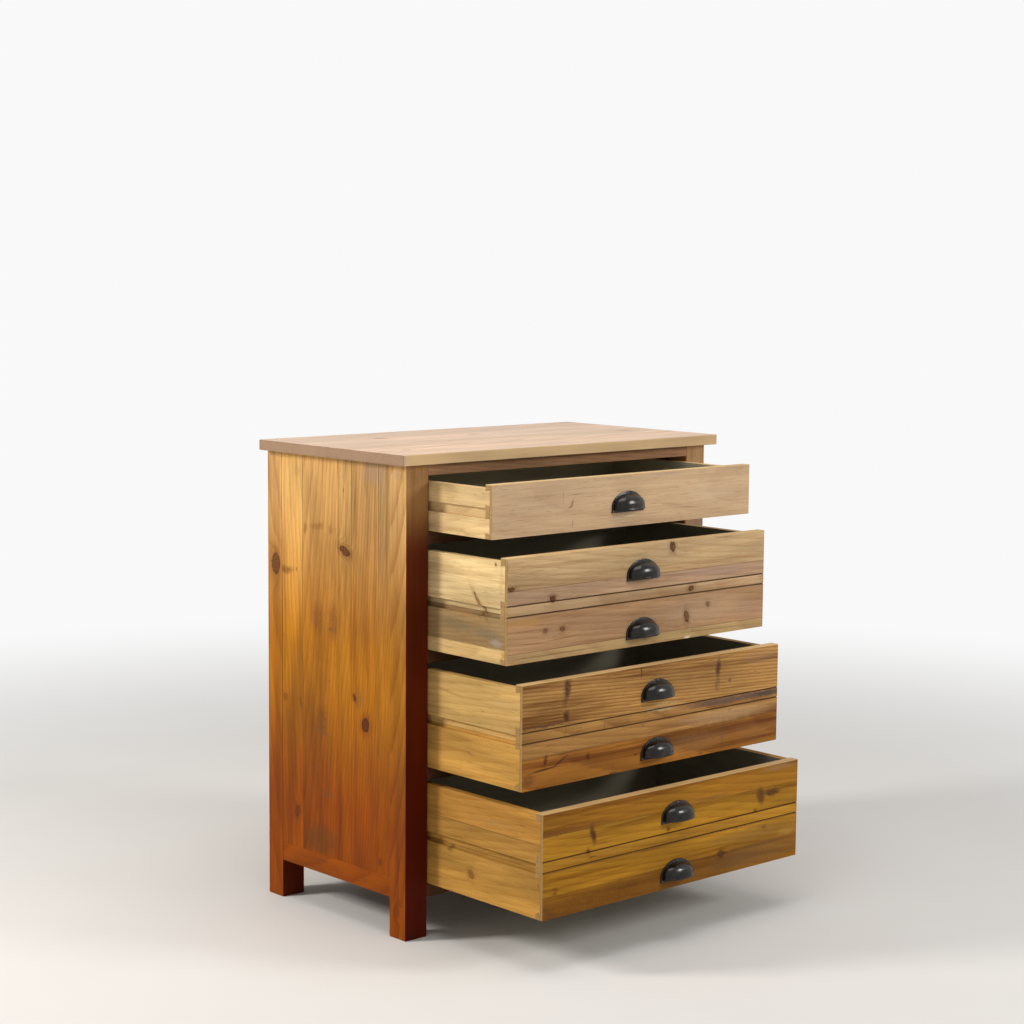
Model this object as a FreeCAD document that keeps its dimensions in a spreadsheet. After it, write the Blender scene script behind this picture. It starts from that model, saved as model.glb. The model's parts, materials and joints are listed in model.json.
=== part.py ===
import FreeCAD, Part
import math
import operator
import os

import Sketcher

# A chest of four drawers in reclaimed pine: a top shallow drawer and three deep ones,
# whose fronts carry two saw kerfs each, so that they look like pairs of shallow drawers.
# X runs along the front, Y from front to back and Z up from the floor. The origin is on the
# floor, in the middle of the width and of the depth over the drawers as they stand open.

# Each size is named once: its alias on the sheet, its value in millimetres and its meaning
SIZES = (
    ("carcass_width", 780, "over the outer faces of the posts"),
    ("carcass_depth", 425, "front face to back face of the posts"),
    ("overall_height", 900, "floor to the upper face of the top"),
    ("top_thickness", 20, "top board"),
    ("top_side_overhang", 20, "top board past each side"),
    ("top_front_overhang", 18, "top board past the front"),
    ("top_corner_radius", 4, "front corners of the top board, seen from above"),
    ("top_edge_radius", 1.5, "upper edge of the top board"),
    ("post_width", 51, "post, along the front"),
    ("post_depth", 46, "post, front to back"),
    ("front_rail_depth", 40, "rails between the front posts, front to back"),
    ("top_rail_height", 21.5, "rail above the top drawer"),
    ("divider_height", 23, "rails between the drawers"),
    ("bottom_rail_height", 24, "rail below the bottom drawer"),
    ("side_rail_height", 37, "rail below each side panel"),
    ("side_rail_thickness", 20, "rail below each side panel"),
    ("panel_thickness", 20, "planks of the sides"),
    ("panel_setback", 0.5, "sides behind the outer faces of the posts"),
    ("tongue_thickness", 8, "tongues round the side panels"),
    ("tongue_length", 8, "tongues round the side panels"),
    ("tenon_length", 22, "tenons of all rails"),
    ("tenon_shoulder", 5, "rail past its tenon on each face"),
    ("tenon_end_gap", 1, "glue room at the end of a tenon or tongue"),
    ("fit_gap", 0.1, "play between glued pieces"),
    ("back_thickness", 8, "boards of the back"),
    ("back_lap", 12, "back boards over the rear posts"),
    ("back_joint_depth", 2, "V joint between two boards of the back"),
    ("back_rail_thickness", 22, "rails inside the back"),
    ("back_top_rail_height", 60, "upper rail inside the back"),
    ("drawer_rear_gap", 7, "closed drawer to the rails inside the back"),
    ("drawer_side_gap", 2.6, "drawer front to post, each side"),
    ("gap_above_front", 4, "drawer front to the rail above"),
    ("gap_below_front", 2, "drawer front to the rail below"),
    ("shallow_front_height", 97, "top drawer"),
    ("leg_clearance", 74.5, "floor to the rails at the bottom"),
    ("front_thickness", 18, "drawer fronts"),
    ("front_lap", 6.5, "wood of the front that hides the dovetails"),
    ("kerf_spacing", 19.5, "from one saw kerf to the other on a deep front"),
    ("kerf_width", 2.6, "mouth of a saw kerf"),
    ("kerf_depth", 2.2, "depth of a saw kerf"),
    ("side_thickness", 16, "drawer sides"),
    ("side_drop", 7, "drawer side below the upper edge of the front"),
    ("bottom_side_drop", 2, "the same on the bottom drawer"),
    ("tail_flare", 2, "a dovetail's tip past its root, on each edge"),
    ("lower_pin_height", 11, "front wood below the lower dovetail"),
    ("shallow_pin_start", 35, "lower edge of the middle pin, top drawer"),
    ("shallow_pin_height", 26, "middle pin, top drawer"),
    ("shallow_upper_pin", 12, "front wood above the upper dovetail, top drawer"),
    ("deep_pin_start", 74, "lower edge of the middle pin, deep drawers"),
    ("deep_pin_height", 40, "middle pin, deep drawers"),
    ("deep_upper_pin", 15, "front wood above the upper dovetail, deep drawers"),
    ("runner_slot_height", 18.5, "slot along the outside of a drawer side"),
    ("runner_slot_depth", 8, "slot along the outside of a drawer side"),
    ("shallow_slot_centre", 45.5, "slot above the front's lower edge, top drawer"),
    ("deep_slot_centre", 90, "slot above the front's lower edge, deep drawers"),
    ("runner_top_gap", 0.3, "slot to runner, on the bearing face"),
    ("runner_bottom_gap", 0.7, "slot to runner, below"),
    ("runner_tip_gap", 1, "slot to runner, sideways"),
    ("runner_end_gap", 0.5, "runner to the back of a closed drawer front"),
    ("runner_rear_gap", 15, "rear end of the runner to the back face of the posts"),
    ("runner_housing", 5, "runner let into the posts"),
    ("bottom_thickness", 6, "drawer bottoms"),
    ("bottom_groove_depth", 6, "groove for the drawer bottom"),
    ("bottom_groove_height", 12, "groove above the lower edge of the drawer"),
    ("drawer_back_thickness", 14, "drawer backs"),
    ("drawer_back_drop", 8, "drawer back below the upper edge of the sides"),
    ("drawer_back_inset", 10, "drawer sides past the back"),
    ("back_housing_depth", 5, "housing of the drawer back in each side"),
    ("top_opening", 172, "top drawer, pulled out at rest"),
    ("second_opening", 214, "second drawer, pulled out at rest"),
    ("third_opening", 256, "third drawer, pulled out at rest"),
    ("bottom_opening", 312, "bottom drawer, pulled out at rest"),
    ("plate_width", 83, "plate of a cup pull"),
    ("plate_height", 39.5, "plate of a cup pull"),
    ("plate_straight", 10, "straight sides of the plate below its arch"),
    ("plate_shoulder_radius", 22, "tight curves of the plate's arch"),
    ("plate_thickness", 1.8, "plate of a cup pull"),
    ("hood_width", 74.8, "hood of a cup pull, across its open edge"),
    ("hood_projection", 23, "hood, out from the drawer front, and its dome above the skirt"),
    ("hood_skirt", 5.5, "upright part of the hood below its dome"),
    ("hood_wall", 1.7, "metal of the hood"),
    ("hood_foot", 5, "open edge above the plate's lower edge"),
    ("lip_height", 1.8, "rolled lip of the open edge"),
    ("lip_bulge", 0.7, "rolled lip outside the hood"),
    ("shallow_pull_height", 27, "plate's lower edge above the front's, top drawer"),
    ("lower_pull_height", 13.5, "lower plate above the front's lower edge, deep drawers"),
    ("upper_pull_drop", 27.5, "upper plate below the front's upper edge, deep drawers"),
    ("ear_hole_inset", 3.4, "ear screw from the plate's side"),
    ("pull_screw_radius", 1.1, "shank of a pull screw"),
    ("pull_screw_length", 12, "pull screw below its head"),
    ("pull_head_radius", 2.1, "round head of a pull screw"),
    ("pull_head_height", 1.3, "round head of a pull screw"),
    ("screw_gap", 0.15, "play round a screw in its hole"),
    ("block_leg", 25, "triangular glue block, each short face"),
    ("block_length", 50, "triangular glue block"),
    ("block_spacing", 110, "glue blocks along a side"),
    ("rail_block_spacing", 360, "glue blocks along the front and back rails"),
)

doc = FreeCAD.newDocument("chest_of_drawers")
sheet = doc.addObject("Spreadsheet::Sheet", "sizes")

# Boards of the back, side by side
BACK_BOARDS = 6

# The hood's curve: 1 would make it an ellipse, and a lower figure makes it fuller
HOOD_FULLNESS = 0.82

# Straight sides round the hood, and bands from its skirt to the edge of its flat crown
HOOD_SIDES = 16
HOOD_BANDS = 6
HOOD_CROWN_ANGLE = math.radians(84)

OPERATIONS = {"+": operator.add, "-": operator.sub, "*": operator.mul, "/": operator.truediv}


class Size:
    """A size that is known as a number and as an expression on the sheet."""

    def __init__(self, number, words):
        self.number = number
        self.words = words

    def __add__(self, other):
        return joined(self, "+", other)

    def __radd__(self, other):
        return joined(other, "+", self)

    def __sub__(self, other):
        return joined(self, "-", other)

    def __rsub__(self, other):
        return joined(other, "-", self)

    def __mul__(self, other):
        return joined(self, "*", other)

    def __rmul__(self, other):
        return joined(other, "*", self)

    def __truediv__(self, other):
        return joined(self, "/", other)

    def __neg__(self):
        return joined(0, "-", self)


def as_size(value):
    return value if isinstance(value, Size) else Size(float(value), repr(value))


def joined(first, sign, second):
    """The sum, difference, product or quotient of two sizes or numbers."""
    a, b = as_size(first), as_size(second)
    return Size(OPERATIONS[sign](a.number, b.number), f"({a.words} {sign} {b.words})")


def fuller(ratio):
    """A ratio along a circle, moved onto the fuller curve of the hood."""
    return math.copysign(abs(round(ratio, 9)) ** HOOD_FULLNESS, ratio)


class Named:
    """The sizes of the table by name, each kept in a cell of the sheet."""

    def __init__(self, table):
        for row, (alias, value, meaning) in enumerate(table, start=1):
            sheet.set(f"A{row}", alias.replace("_", " "))
            sheet.set(f"B{row}", str(value))
            sheet.set(f"C{row}", meaning)
            sheet.setAlias(f"B{row}", alias)
            setattr(self, alias, Size(float(value), f"sizes.{alias}"))


s = Named(SIZES)
doc.recompute()


# How an object is tied to the sheet and placed

def bind(obj, path, value):
    """Ties a property of an object to the sheet."""
    obj.setExpression(path, as_size(value).words)


def place(obj, x=0, y=0, z=0):
    """Ties an object's place to the sheet."""
    bind(obj, "Placement.Base.x", x)
    bind(obj, "Placement.Base.y", y)
    bind(obj, "Placement.Base.z", z)
    return obj


def new_body(label, x=0, y=0, z=0):
    body = doc.addObject("PartDesign::Body", label)
    body.Label = label
    return place(body, x, y, z)


def origin_plane(body, role):
    return next(item for item in body.Origin.OriginFeatures if item.Role == role)


class Drawing:
    """A sketch on an origin plane of a body, with each point tied to the sheet."""

    def __init__(self, body, plane, lift=0, shift_up=0):
        self.sketch = body.newObject("Sketcher::SketchObject", "sketch")
        self.sketch.AttachmentSupport = [(origin_plane(body, plane), "")]
        self.sketch.MapMode = "FlatFace"
        bind(self.sketch, "AttachmentOffset.Base.y", shift_up)
        bind(self.sketch, "AttachmentOffset.Base.z", lift)

    def measure(self, kind, edge, end, value):
        """A distance from the sketch's origin to the end of an edge, or its radius."""
        number = as_size(value).number
        if kind == "Radius":
            constraint = Sketcher.Constraint(kind, edge, number)
        else:
            constraint = Sketcher.Constraint(kind, -1, 1, edge, end, number)
        index = self.sketch.addConstraint(constraint)
        if isinstance(value, Size):
            bind(self.sketch, f"Constraints[{index}]", value)

    def line(self, start, end):
        ends = [FreeCAD.Vector(as_size(x).number, as_size(y).number, 0) for x, y in (start, end)]
        return self.sketch.addGeometry(Part.LineSegment(*ends), False)

    def polygon(self, *points):
        """A closed outline through the points, each a pair of sizes."""
        edges = [self.line(a, b) for a, b in zip(points, points[1:] + points[:1])]
        for edge, after in zip(edges, edges[1:] + edges[:1]):
            self.sketch.addConstraint(Sketcher.Constraint("Coincident", edge, 2, after, 1))
        for edge, (x, y) in zip(edges, points):
            self.measure("DistanceX", edge, 1, x)
            self.measure("DistanceY", edge, 1, y)
        return self

    def rectangle(self, x_low, y_low, x_high, y_high):
        return self.polygon((x_low, y_low), (x_high, y_low), (x_high, y_high), (x_low, y_high))

    def flats(self, x, y, radius):
        """A small round thing, drawn with eight flats whose corners lie on its circle."""
        corners = [math.radians(22.5 + 45 * count) for count in range(8)]
        return self.polygon(
            *((x + radius * math.cos(turn), y + radius * math.sin(turn)) for turn in corners)
        )

    def arc(self, centre, radius, start, end):
        """An arc that runs anticlockwise from one point to the other."""
        angles = [FreeCAD.Vector(x - centre[0], y - centre[1], 0) for x, y in (start, end)]
        turn = [v.getAngle(FreeCAD.Vector(1, 0, 0)) * (1 if v.y >= 0 else -1) for v in angles]
        middle = FreeCAD.Vector(centre[0], centre[1], 0)
        circle = Part.Circle(middle, FreeCAD.Vector(0, 0, 1), radius)
        return self.sketch.addGeometry(Part.ArcOfCircle(circle, turn[0], turn[1]), False)

    def arch(self, half_width, height, shoulder, foot):
        """A closed three-centred arch on straight sides, whose curves meet at a tangent.

        The shoulder is the radius of the two tight curves and the foot the height of the sides.
        """
        reach = half_width - shoulder
        climb = height - foot - shoulder
        sink = (reach * reach - climb * climb) / (2 * climb)
        crown = shoulder + climb + sink
        meet = reach + shoulder * reach / (crown - shoulder)
        w, m, level = half_width.number, meet.number, foot.number
        lift = level + (shoulder.number ** 2 - (m - reach.number) ** 2) ** 0.5
        hub = (0.0, level - sink.number)
        edges = [
            self.arc((reach.number, level), shoulder.number, (w, level), (m, lift)),
            self.arc(hub, crown.number, (m, lift), (-m, lift)),
            self.arc((-reach.number, level), shoulder.number, (-m, lift), (-w, level)),
            self.line((-half_width, foot), (-half_width, 0)),
            self.line((-half_width, 0), (half_width, 0)),
            self.line((half_width, 0), (half_width, foot)),
        ]
        for edge, after in zip(edges, edges[1:] + edges[:1]):
            self.sketch.addConstraint(Sketcher.Constraint("Coincident", edge, 2, after, 1))
        right, top, left, left_side, base, right_side = edges
        for edge, side in ((right, 1), (left, -1)):
            self.measure("DistanceX", edge, 3, side * reach)
            self.measure("DistanceY", edge, 3, foot)
            self.measure("Radius", edge, 0, shoulder)
        self.measure("DistanceX", top, 1, meet)
        self.measure("DistanceX", top, 2, -meet)
        self.measure("DistanceY", top, 3, foot - sink)
        for edge, x in ((base, -half_width), (right_side, half_width)):
            self.measure("DistanceX", edge, 1, x)
            self.measure("DistanceY", edge, 1, 0)
        self.measure("DistanceY", left_side, 1, foot)
        self.measure("DistanceY", right_side, 2, foot)
        return self


# Features on a body

def pad(body, drawing, length, symmetric=False, flip=False):
    feature = body.newObject("PartDesign::Pad", "pad")
    feature.Profile = drawing.sketch
    feature.SideType = "Symmetric" if symmetric else "One side"
    feature.Reversed = flip
    bind(feature, "Length", length)
    return feature


def pocket(body, drawing, depth, flip=False):
    """A cut against the sketch plane's normal, or along it where flip is true."""
    feature = body.newObject("PartDesign::Pocket", "pocket")
    feature.Profile = drawing.sketch
    feature.Reversed = flip
    bind(feature, "Length", depth)
    return feature


def mirror_cut(body, feature):
    """The same cut again, across the middle of the body's width."""
    copy = body.newObject("PartDesign::Mirrored", "mirrored")
    copy.Originals = [feature]
    copy.MirrorPlane = (origin_plane(body, "YZ_Plane"), [""])
    body.Tip = copy
    return copy


def rounded(body, radius, chosen):
    """A fillet on the edges of the body that the test picks by their end points."""
    doc.recompute()
    base = body.Tip
    names = [
        f"Edge{number}"
        for number, edge in enumerate(base.Shape.Edges, start=1)
        if chosen(base.Shape.BoundBox, [vertex.Point for vertex in edge.Vertexes])
    ]
    feature = body.newObject("PartDesign::Fillet", "fillet")
    feature.Base = (base, names)
    bind(feature, "Radius", radius)
    return feature


parts = []


def keep(obj, label):
    obj.Label = label
    parts.append(obj)
    return obj


def mirror_piece(source, label):
    """The right-hand piece of a pair, across the middle plane of the chest."""
    copy = doc.addObject("Part::Mirroring", label)
    copy.Source = source
    copy.Normal = FreeCAD.Vector(1, 0, 0)
    copy.Base = FreeCAD.Vector(0, 0, 0)
    return keep(copy, label)


def group(label, pieces):
    """Several separate solids of one kind under one name."""
    return keep_compound(doc.addObject("Part::Compound", label), label, pieces)


def keep_compound(compound, label, pieces):
    compound.Links = pieces
    return keep(compound, label)


def copy_at(source, rotation, x, y, z):
    """One more of a piece, turned and then moved."""
    link = doc.addObject("App::Link", source.Label + "_copy")
    link.LinkedObject = source
    link.Placement = FreeCAD.Placement(FreeCAD.Vector(0, 0, 0), rotation)
    return place(link, x, y, z)


def turn(x, y, z, degrees):
    return FreeCAD.Rotation(FreeCAD.Vector(x, y, z), degrees)


# Places that several pieces share

front_y = (s.bottom_opening + s.hood_projection + s.lip_bulge - s.carcass_depth) / 2
outer_x = -s.carcass_width / 2
opening_x = outer_x + s.post_width
opening_width = s.carcass_width - 2 * s.post_width
top_underside = s.overall_height - s.top_thickness
back_inner_y = s.carcass_depth - s.back_thickness
rear_post_y = s.carcass_depth - s.post_depth
drawer_width = opening_width - 2 * s.drawer_side_gap
back_rail_y = back_inner_y - s.back_rail_thickness
drawer_length = back_rail_y - s.drawer_rear_gap
DIVIDERS = ("upper_divider_rail", "middle_divider_rail", "lower_divider_rail")
deep_front_height = (
    top_underside - s.top_rail_height - s.shallow_front_height - s.leg_clearance
    - s.bottom_rail_height - len(DIVIDERS) * s.divider_height
    - (len(DIVIDERS) + 1) * (s.gap_above_front + s.gap_below_front)
) / len(DIVIDERS)


class Drawer:
    """The sizes and the place of one drawer."""

    def __init__(self, name, height, opening, above, shallow, drop):
        self.name = name
        self.height = height
        self.opening = opening
        self.shallow = shallow
        self.drop = drop
        self.base = above - s.gap_above_front - height
        self.rail_top = self.base - s.gap_below_front
        self.face_y = front_y - opening
        self.side_height = height - drop
        self.slot_centre = s.shallow_slot_centre if shallow else s.deep_slot_centre
        self.pin_start = s.shallow_pin_start if shallow else s.deep_pin_start
        pin_height = s.shallow_pin_height if shallow else s.deep_pin_height
        upper_pin = s.shallow_upper_pin if shallow else s.deep_upper_pin
        self.tails = (
            (s.lower_pin_height, self.pin_start),
            (self.pin_start + pin_height, height - upper_pin),
        )
        self.runner_z = self.base + self.slot_centre
        if shallow:
            self.pulls = (("pull", s.shallow_pull_height),)
        else:
            self.pulls = (
                ("upper_pull", height - s.upper_pull_drop - s.plate_height),
                ("lower_pull", s.lower_pull_height),
            )


def stack_drawers():
    """The four drawers from the top down, each under the rail above it."""
    first = (s.shallow_front_height, s.top_opening, True, s.side_drop)
    second = (deep_front_height, s.second_opening, False, s.side_drop)
    third = (deep_front_height, s.third_opening, False, s.side_drop)
    last = (deep_front_height, s.bottom_opening, False, s.bottom_side_drop)
    drawers, above = [], top_underside - s.top_rail_height
    for name, (height, opening, shallow, drop) in zip(
        ("top", "second", "third", "bottom"), (first, second, third, last)
    ):
        drawers.append(Drawer(name, height, opening, above, shallow, drop))
        above = drawers[-1].rail_top - s.divider_height
    return drawers


drawers = stack_drawers()
rail_line = s.leg_clearance
side_rail_top = rail_line + s.side_rail_height
front_rails = [("front_top_rail", top_underside - s.top_rail_height, s.top_rail_height)]
front_rails += [
    (name, drawer.rail_top - s.divider_height, s.divider_height)
    for name, drawer in zip(DIVIDERS, drawers)
]
front_rails += [("front_bottom_rail", rail_line, s.bottom_rail_height)]
back_rails = [
    ("back_top_rail", top_underside - s.back_top_rail_height, s.back_top_rail_height),
    ("back_bottom_rail", rail_line, s.side_rail_height),
]
runner_thickness = s.drawer_side_gap + s.runner_slot_depth - s.runner_tip_gap
runner_height = s.runner_slot_height - s.runner_top_gap - s.runner_bottom_gap
runner_bottom = s.runner_bottom_gap - s.runner_slot_height / 2
runner_start = s.front_thickness + s.runner_end_gap


# The carcass

def top_board():
    width = s.carcass_width + 2 * s.top_side_overhang
    body = new_body("top_board", 0, front_y - s.top_front_overhang, top_underside)
    depth = s.carcass_depth + s.top_front_overhang
    outline = Drawing(body, "XY_Plane").rectangle(-width / 2, 0, width / 2, depth)
    pad(body, outline, s.top_thickness)
    rounded(body, s.top_corner_radius, is_front_upright)
    rounded(body, s.top_edge_radius, is_upper_edge)
    return keep(body, "top_board")


def is_front_upright(box, ends):
    upright = len(ends) == 2 and abs(ends[0].z - ends[1].z) > 0.5 * box.ZLength
    return upright and all(abs(point.y - box.YMin) < 0.01 for point in ends)


def is_upper_edge(box, ends):
    return all(abs(point.z - box.ZMax) < 0.01 for point in ends)


def mortise(drawing, x_low, y_low, x_high, y_high):
    """The hole for a tenon, from the rail's own outline."""
    inset = s.tenon_shoulder - s.fit_gap
    drawing.rectangle(x_low + inset, y_low + inset, x_high - inset, y_high - inset)


def post(label, y, rails, rail_low_y, rail_high_y, panel_face, runner_low, runner_high):
    """A left post, with the joints of its rails, its side panel and its runners."""
    body = new_body(label, outer_x, y, 0)
    section = Drawing(body, "XY_Plane").rectangle(0, 0, s.post_width, s.post_depth)
    pad(body, section, top_underside)
    joints = Drawing(body, "YZ_Plane", lift=s.post_width)
    for _, low, height in rails:
        mortise(joints, rail_low_y, low, rail_high_y, low + height)
    pocket(body, joints, s.tenon_length + s.tenon_end_gap)
    rear_face = isinstance(panel_face, Size)
    tongue_low = s.panel_setback + (s.panel_thickness - s.tongue_thickness) / 2 - s.fit_gap
    tongue_high = tongue_low + s.tongue_thickness + 2 * s.fit_gap
    groove = Drawing(body, "XZ_Plane", lift=-panel_face)
    groove.rectangle(tongue_low, side_rail_top - s.fit_gap, tongue_high, s.overall_height)
    pocket(body, groove, s.tongue_length + s.tenon_end_gap, flip=rear_face)
    foot = Drawing(body, "XZ_Plane", lift=-panel_face)
    rail_outer = s.panel_setback
    mortise(foot, rail_outer, rail_line, rail_outer + s.side_rail_thickness, side_rail_top)
    pocket(body, foot, s.tenon_length + s.tenon_end_gap, flip=rear_face)
    housings = Drawing(body, "YZ_Plane", lift=s.post_width)
    for drawer in drawers:
        low = drawer.runner_z + runner_bottom - s.fit_gap
        high = low + runner_height + 2 * s.fit_gap
        housings.rectangle(runner_low, low, runner_high, high)
    pocket(body, housings, s.runner_housing + s.fit_gap)
    return body


def posts():
    face = front_y
    low = runner_start - s.fit_gap
    front = post(
        "front_left_post", face, front_rails, as_size(0), s.front_rail_depth,
        s.post_depth, low, s.post_depth + low,
    )
    rail_low = back_rail_y - rear_post_y
    rear = post(
        "rear_left_post", face + rear_post_y, back_rails, rail_low,
        rail_low + s.back_rail_thickness, 0, -low, s.post_depth - s.runner_rear_gap + s.fit_gap,
    )
    rebate = Drawing(rear, "XY_Plane", lift=rail_line)
    rebate.rectangle(
        s.post_width - s.back_lap, s.post_depth - s.back_thickness,
        s.post_width + s.back_lap, s.post_depth + s.back_thickness,
    )
    pocket(rear, rebate, s.overall_height, flip=True)
    for piece, row in ((front, "front"), (rear, "rear")):
        keep(piece, f"{row}_left_post")
        mirror_piece(piece, f"{row}_right_post")


def rail(label, length, depth, height, x, y, z, along="YZ_Plane"):
    """A rail about the middle of its length, with a tenon on each end."""
    body = new_body(label, x, y, z)
    full = Drawing(body, along).rectangle(0, 0, depth, height)
    pad(body, full, length, symmetric=True)
    edge = s.tenon_shoulder
    tenon = Drawing(body, along).rectangle(edge, edge, depth - edge, height - edge)
    pad(body, tenon, length + 2 * s.tenon_length, symmetric=True)
    return body


def front_and_back_rails():
    for label, low, height in front_rails:
        body = rail(label, opening_width, s.front_rail_depth, height, 0, front_y, low)
        keep(body, label)
    for label, low, height in back_rails:
        place_y = front_y + back_rail_y
        body = rail(label, opening_width, s.back_rail_thickness, height, 0, place_y, low)
        keep(body, label)


def side_rails():
    length = s.carcass_depth - 2 * s.post_depth
    x = outer_x + s.panel_setback
    y = front_y + s.carcass_depth / 2
    body = rail(
        "left_side_rail", length, s.side_rail_thickness, s.side_rail_height,
        x, y, rail_line, "XZ_Plane",
    )
    low = (s.panel_thickness - s.tongue_thickness) / 2 - s.fit_gap
    high = low + s.tongue_thickness + 2 * s.fit_gap
    groove = Drawing(body, "XY_Plane", lift=s.side_rail_height)
    groove.rectangle(low, -length, high, length)
    pocket(body, groove, s.tongue_length + s.fit_gap)
    keep(body, "left_side_rail")
    mirror_piece(body, "right_side_rail")


def side_panels():
    """The glued-up planks of one side, with a tongue on each upright edge and below."""
    y = front_y + s.post_depth
    body = new_body("left_side_panel", outer_x + s.panel_setback, y, side_rail_top)
    length = s.carcass_depth - 2 * s.post_depth
    low = (s.panel_thickness - s.tongue_thickness) / 2
    high = low + s.tongue_thickness
    full, tip = s.panel_thickness, s.tongue_length
    plan = Drawing(body, "XY_Plane").polygon(
        (0, 0), (low, 0), (low, -tip), (high, -tip), (high, 0), (full, 0),
        (full, length), (high, length), (high, length + tip), (low, length + tip),
        (low, length), (0, length),
    )
    pad(body, plan, top_underside - side_rail_top)
    tongue = Drawing(body, "XY_Plane").rectangle(low, 0, high, length)
    pad(body, tongue, s.tongue_length, flip=True)
    keep(body, "left_side_panel")
    mirror_piece(body, "right_side_panel")


def back_boards():
    """The boards of the back in one piece, with V joints, in the rebates of the posts."""
    half = opening_width / 2 + s.back_lap - s.fit_gap
    body = new_body("back_boards", 0, front_y + back_inner_y, rail_line)
    plan = Drawing(body, "XY_Plane").rectangle(-half, 0, half, s.back_thickness)
    pad(body, plan, top_underside - rail_line)
    joints = Drawing(body, "XY_Plane")
    mouth, floor = s.back_thickness, s.back_thickness - s.back_joint_depth
    for count in range(1, BACK_BOARDS):
        x = half * (2 * count / BACK_BOARDS - 1)
        spread = s.back_joint_depth
        joints.polygon((x - spread, mouth), (x, floor), (x + spread, mouth))
    pocket(body, joints, top_underside - rail_line, flip=True)
    keep(body, "back_boards")


def runners():
    """The strips that the drawers hang on, let into the inner faces of the posts."""
    length = s.carcass_depth - s.runner_rear_gap - runner_start
    for drawer in drawers:
        label = f"{drawer.name}_left_runner"
        low = drawer.runner_z + runner_bottom
        body = new_body(label, opening_x - s.runner_housing, front_y + runner_start, low)
        section = Drawing(body, "YZ_Plane").rectangle(0, 0, length, runner_height)
        pad(body, section, s.runner_housing + runner_thickness)
        keep(body, label)
        mirror_piece(body, f"{drawer.name}_right_runner")


def glue_blocks():
    """Triangular blocks under the top, along the sides and the front and back rails."""
    block = new_body("glue_block")
    leg = s.block_leg
    corner = Drawing(block, "XZ_Plane").polygon((0, 0), (leg, 0), (0, -leg))
    pad(block, corner, s.block_length, symmetric=True)
    inner = -outer_x - s.panel_setback - s.panel_thickness
    middle = front_y + s.carcass_depth / 2
    blocks = []
    for count in (-1, 0, 1):
        y = middle + count * s.block_spacing
        blocks.append(copy_at(block, turn(0, 0, 1, 0), -inner, y, top_underside))
        blocks.append(copy_at(block, turn(0, 0, 1, 180), inner, y, top_underside))
    for count in (-0.5, 0.5):
        x = count * s.rail_block_spacing
        behind = front_y + s.front_rail_depth
        ahead = front_y + back_rail_y
        blocks.append(copy_at(block, turn(0, 0, 1, 90), x, behind, top_underside))
        blocks.append(copy_at(block, turn(0, 0, 1, -90), x, ahead, top_underside))
    group("glue_blocks", blocks)


# The drawers

def drawer_front(drawer):
    """A front with half-blind sockets, a groove for the bottom and, if deep, two kerfs."""
    label = f"{drawer.name}_drawer_front"
    body = new_body(label, 0, drawer.face_y, drawer.base)
    back, groove = s.front_thickness, s.front_thickness - s.bottom_groove_depth
    low = s.bottom_groove_height
    high = low + s.bottom_thickness + 2 * s.fit_gap
    outline = [
        (0, 0), (back, 0), (back, low), (groove, low), (groove, high), (back, high),
        (back, drawer.height), (0, drawer.height),
    ]
    if not drawer.shallow:
        for side in (0.5, -0.5):
            z = drawer.height / 2 + side * s.kerf_spacing
            outline += [(0, z + s.kerf_width / 2), (s.kerf_depth, z), (0, z - s.kerf_width / 2)]
    pad(body, Drawing(body, "YZ_Plane").polygon(*outline), drawer_width, symmetric=True)
    sockets = Drawing(body, "YZ_Plane", lift=-drawer_width / 2)
    for root_low, root_high in drawer.tails:
        gap, flare, tip = s.fit_gap, s.tail_flare, s.front_lap - s.fit_gap
        mouth = back + s.front_lap
        sockets.polygon(
            (tip, root_low - flare - gap), (back, root_low - gap), (mouth, root_low - gap),
            (mouth, root_high + gap), (back, root_high + gap), (tip, root_high + flare + gap),
        )
    cut = pocket(body, sockets, s.side_thickness + s.fit_gap, flip=True)
    mirror_cut(body, cut)
    pilots = Drawing(body, "XZ_Plane")
    for _, height in drawer.pulls:
        for x, z in pull_screw_places():
            pilots.flats(x, height + z, s.pull_screw_radius + s.screw_gap)
    pocket(body, pilots, s.pull_screw_length - s.plate_thickness + s.screw_gap)
    keep(body, label)


def drawer_sides(drawer):
    """A side with two dovetails, a slot for the runner, a groove and a housing."""
    label = f"{drawer.name}_drawer_left_side"
    body = new_body(label, -drawer_width / 2, drawer.face_y, drawer.base)
    root, tip, end = s.front_thickness, s.front_lap, drawer_length
    outline = [(end, 0), (end, drawer.side_height), (root, drawer.side_height)]
    for low, high in reversed(drawer.tails):
        outline += [(root, high), (tip, high + s.tail_flare)]
        outline += [(tip, low - s.tail_flare), (root, low)]
    outline.append((root, 0))
    pad(body, Drawing(body, "YZ_Plane").polygon(*outline), s.side_thickness)
    half = s.runner_slot_height / 2
    slot = Drawing(body, "YZ_Plane")
    slot.rectangle(tip, drawer.slot_centre - half, end + tip, drawer.slot_centre + half)
    pocket(body, slot, s.runner_slot_depth, flip=True)
    low = s.bottom_groove_height
    high = low + s.bottom_thickness + 2 * s.fit_gap
    groove = Drawing(body, "YZ_Plane", lift=s.side_thickness)
    groove.rectangle(0, low, end + tip, high)
    pocket(body, groove, s.bottom_groove_depth)
    near = end - s.drawer_back_inset - s.drawer_back_thickness
    housing = Drawing(body, "YZ_Plane", lift=s.side_thickness)
    far = near + s.drawer_back_thickness + s.fit_gap
    housing.rectangle(near - s.fit_gap, high, far, drawer.height + s.front_thickness)
    pocket(body, housing, s.back_housing_depth)
    keep(body, label)
    mirror_piece(body, f"{drawer.name}_drawer_right_side")


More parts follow.
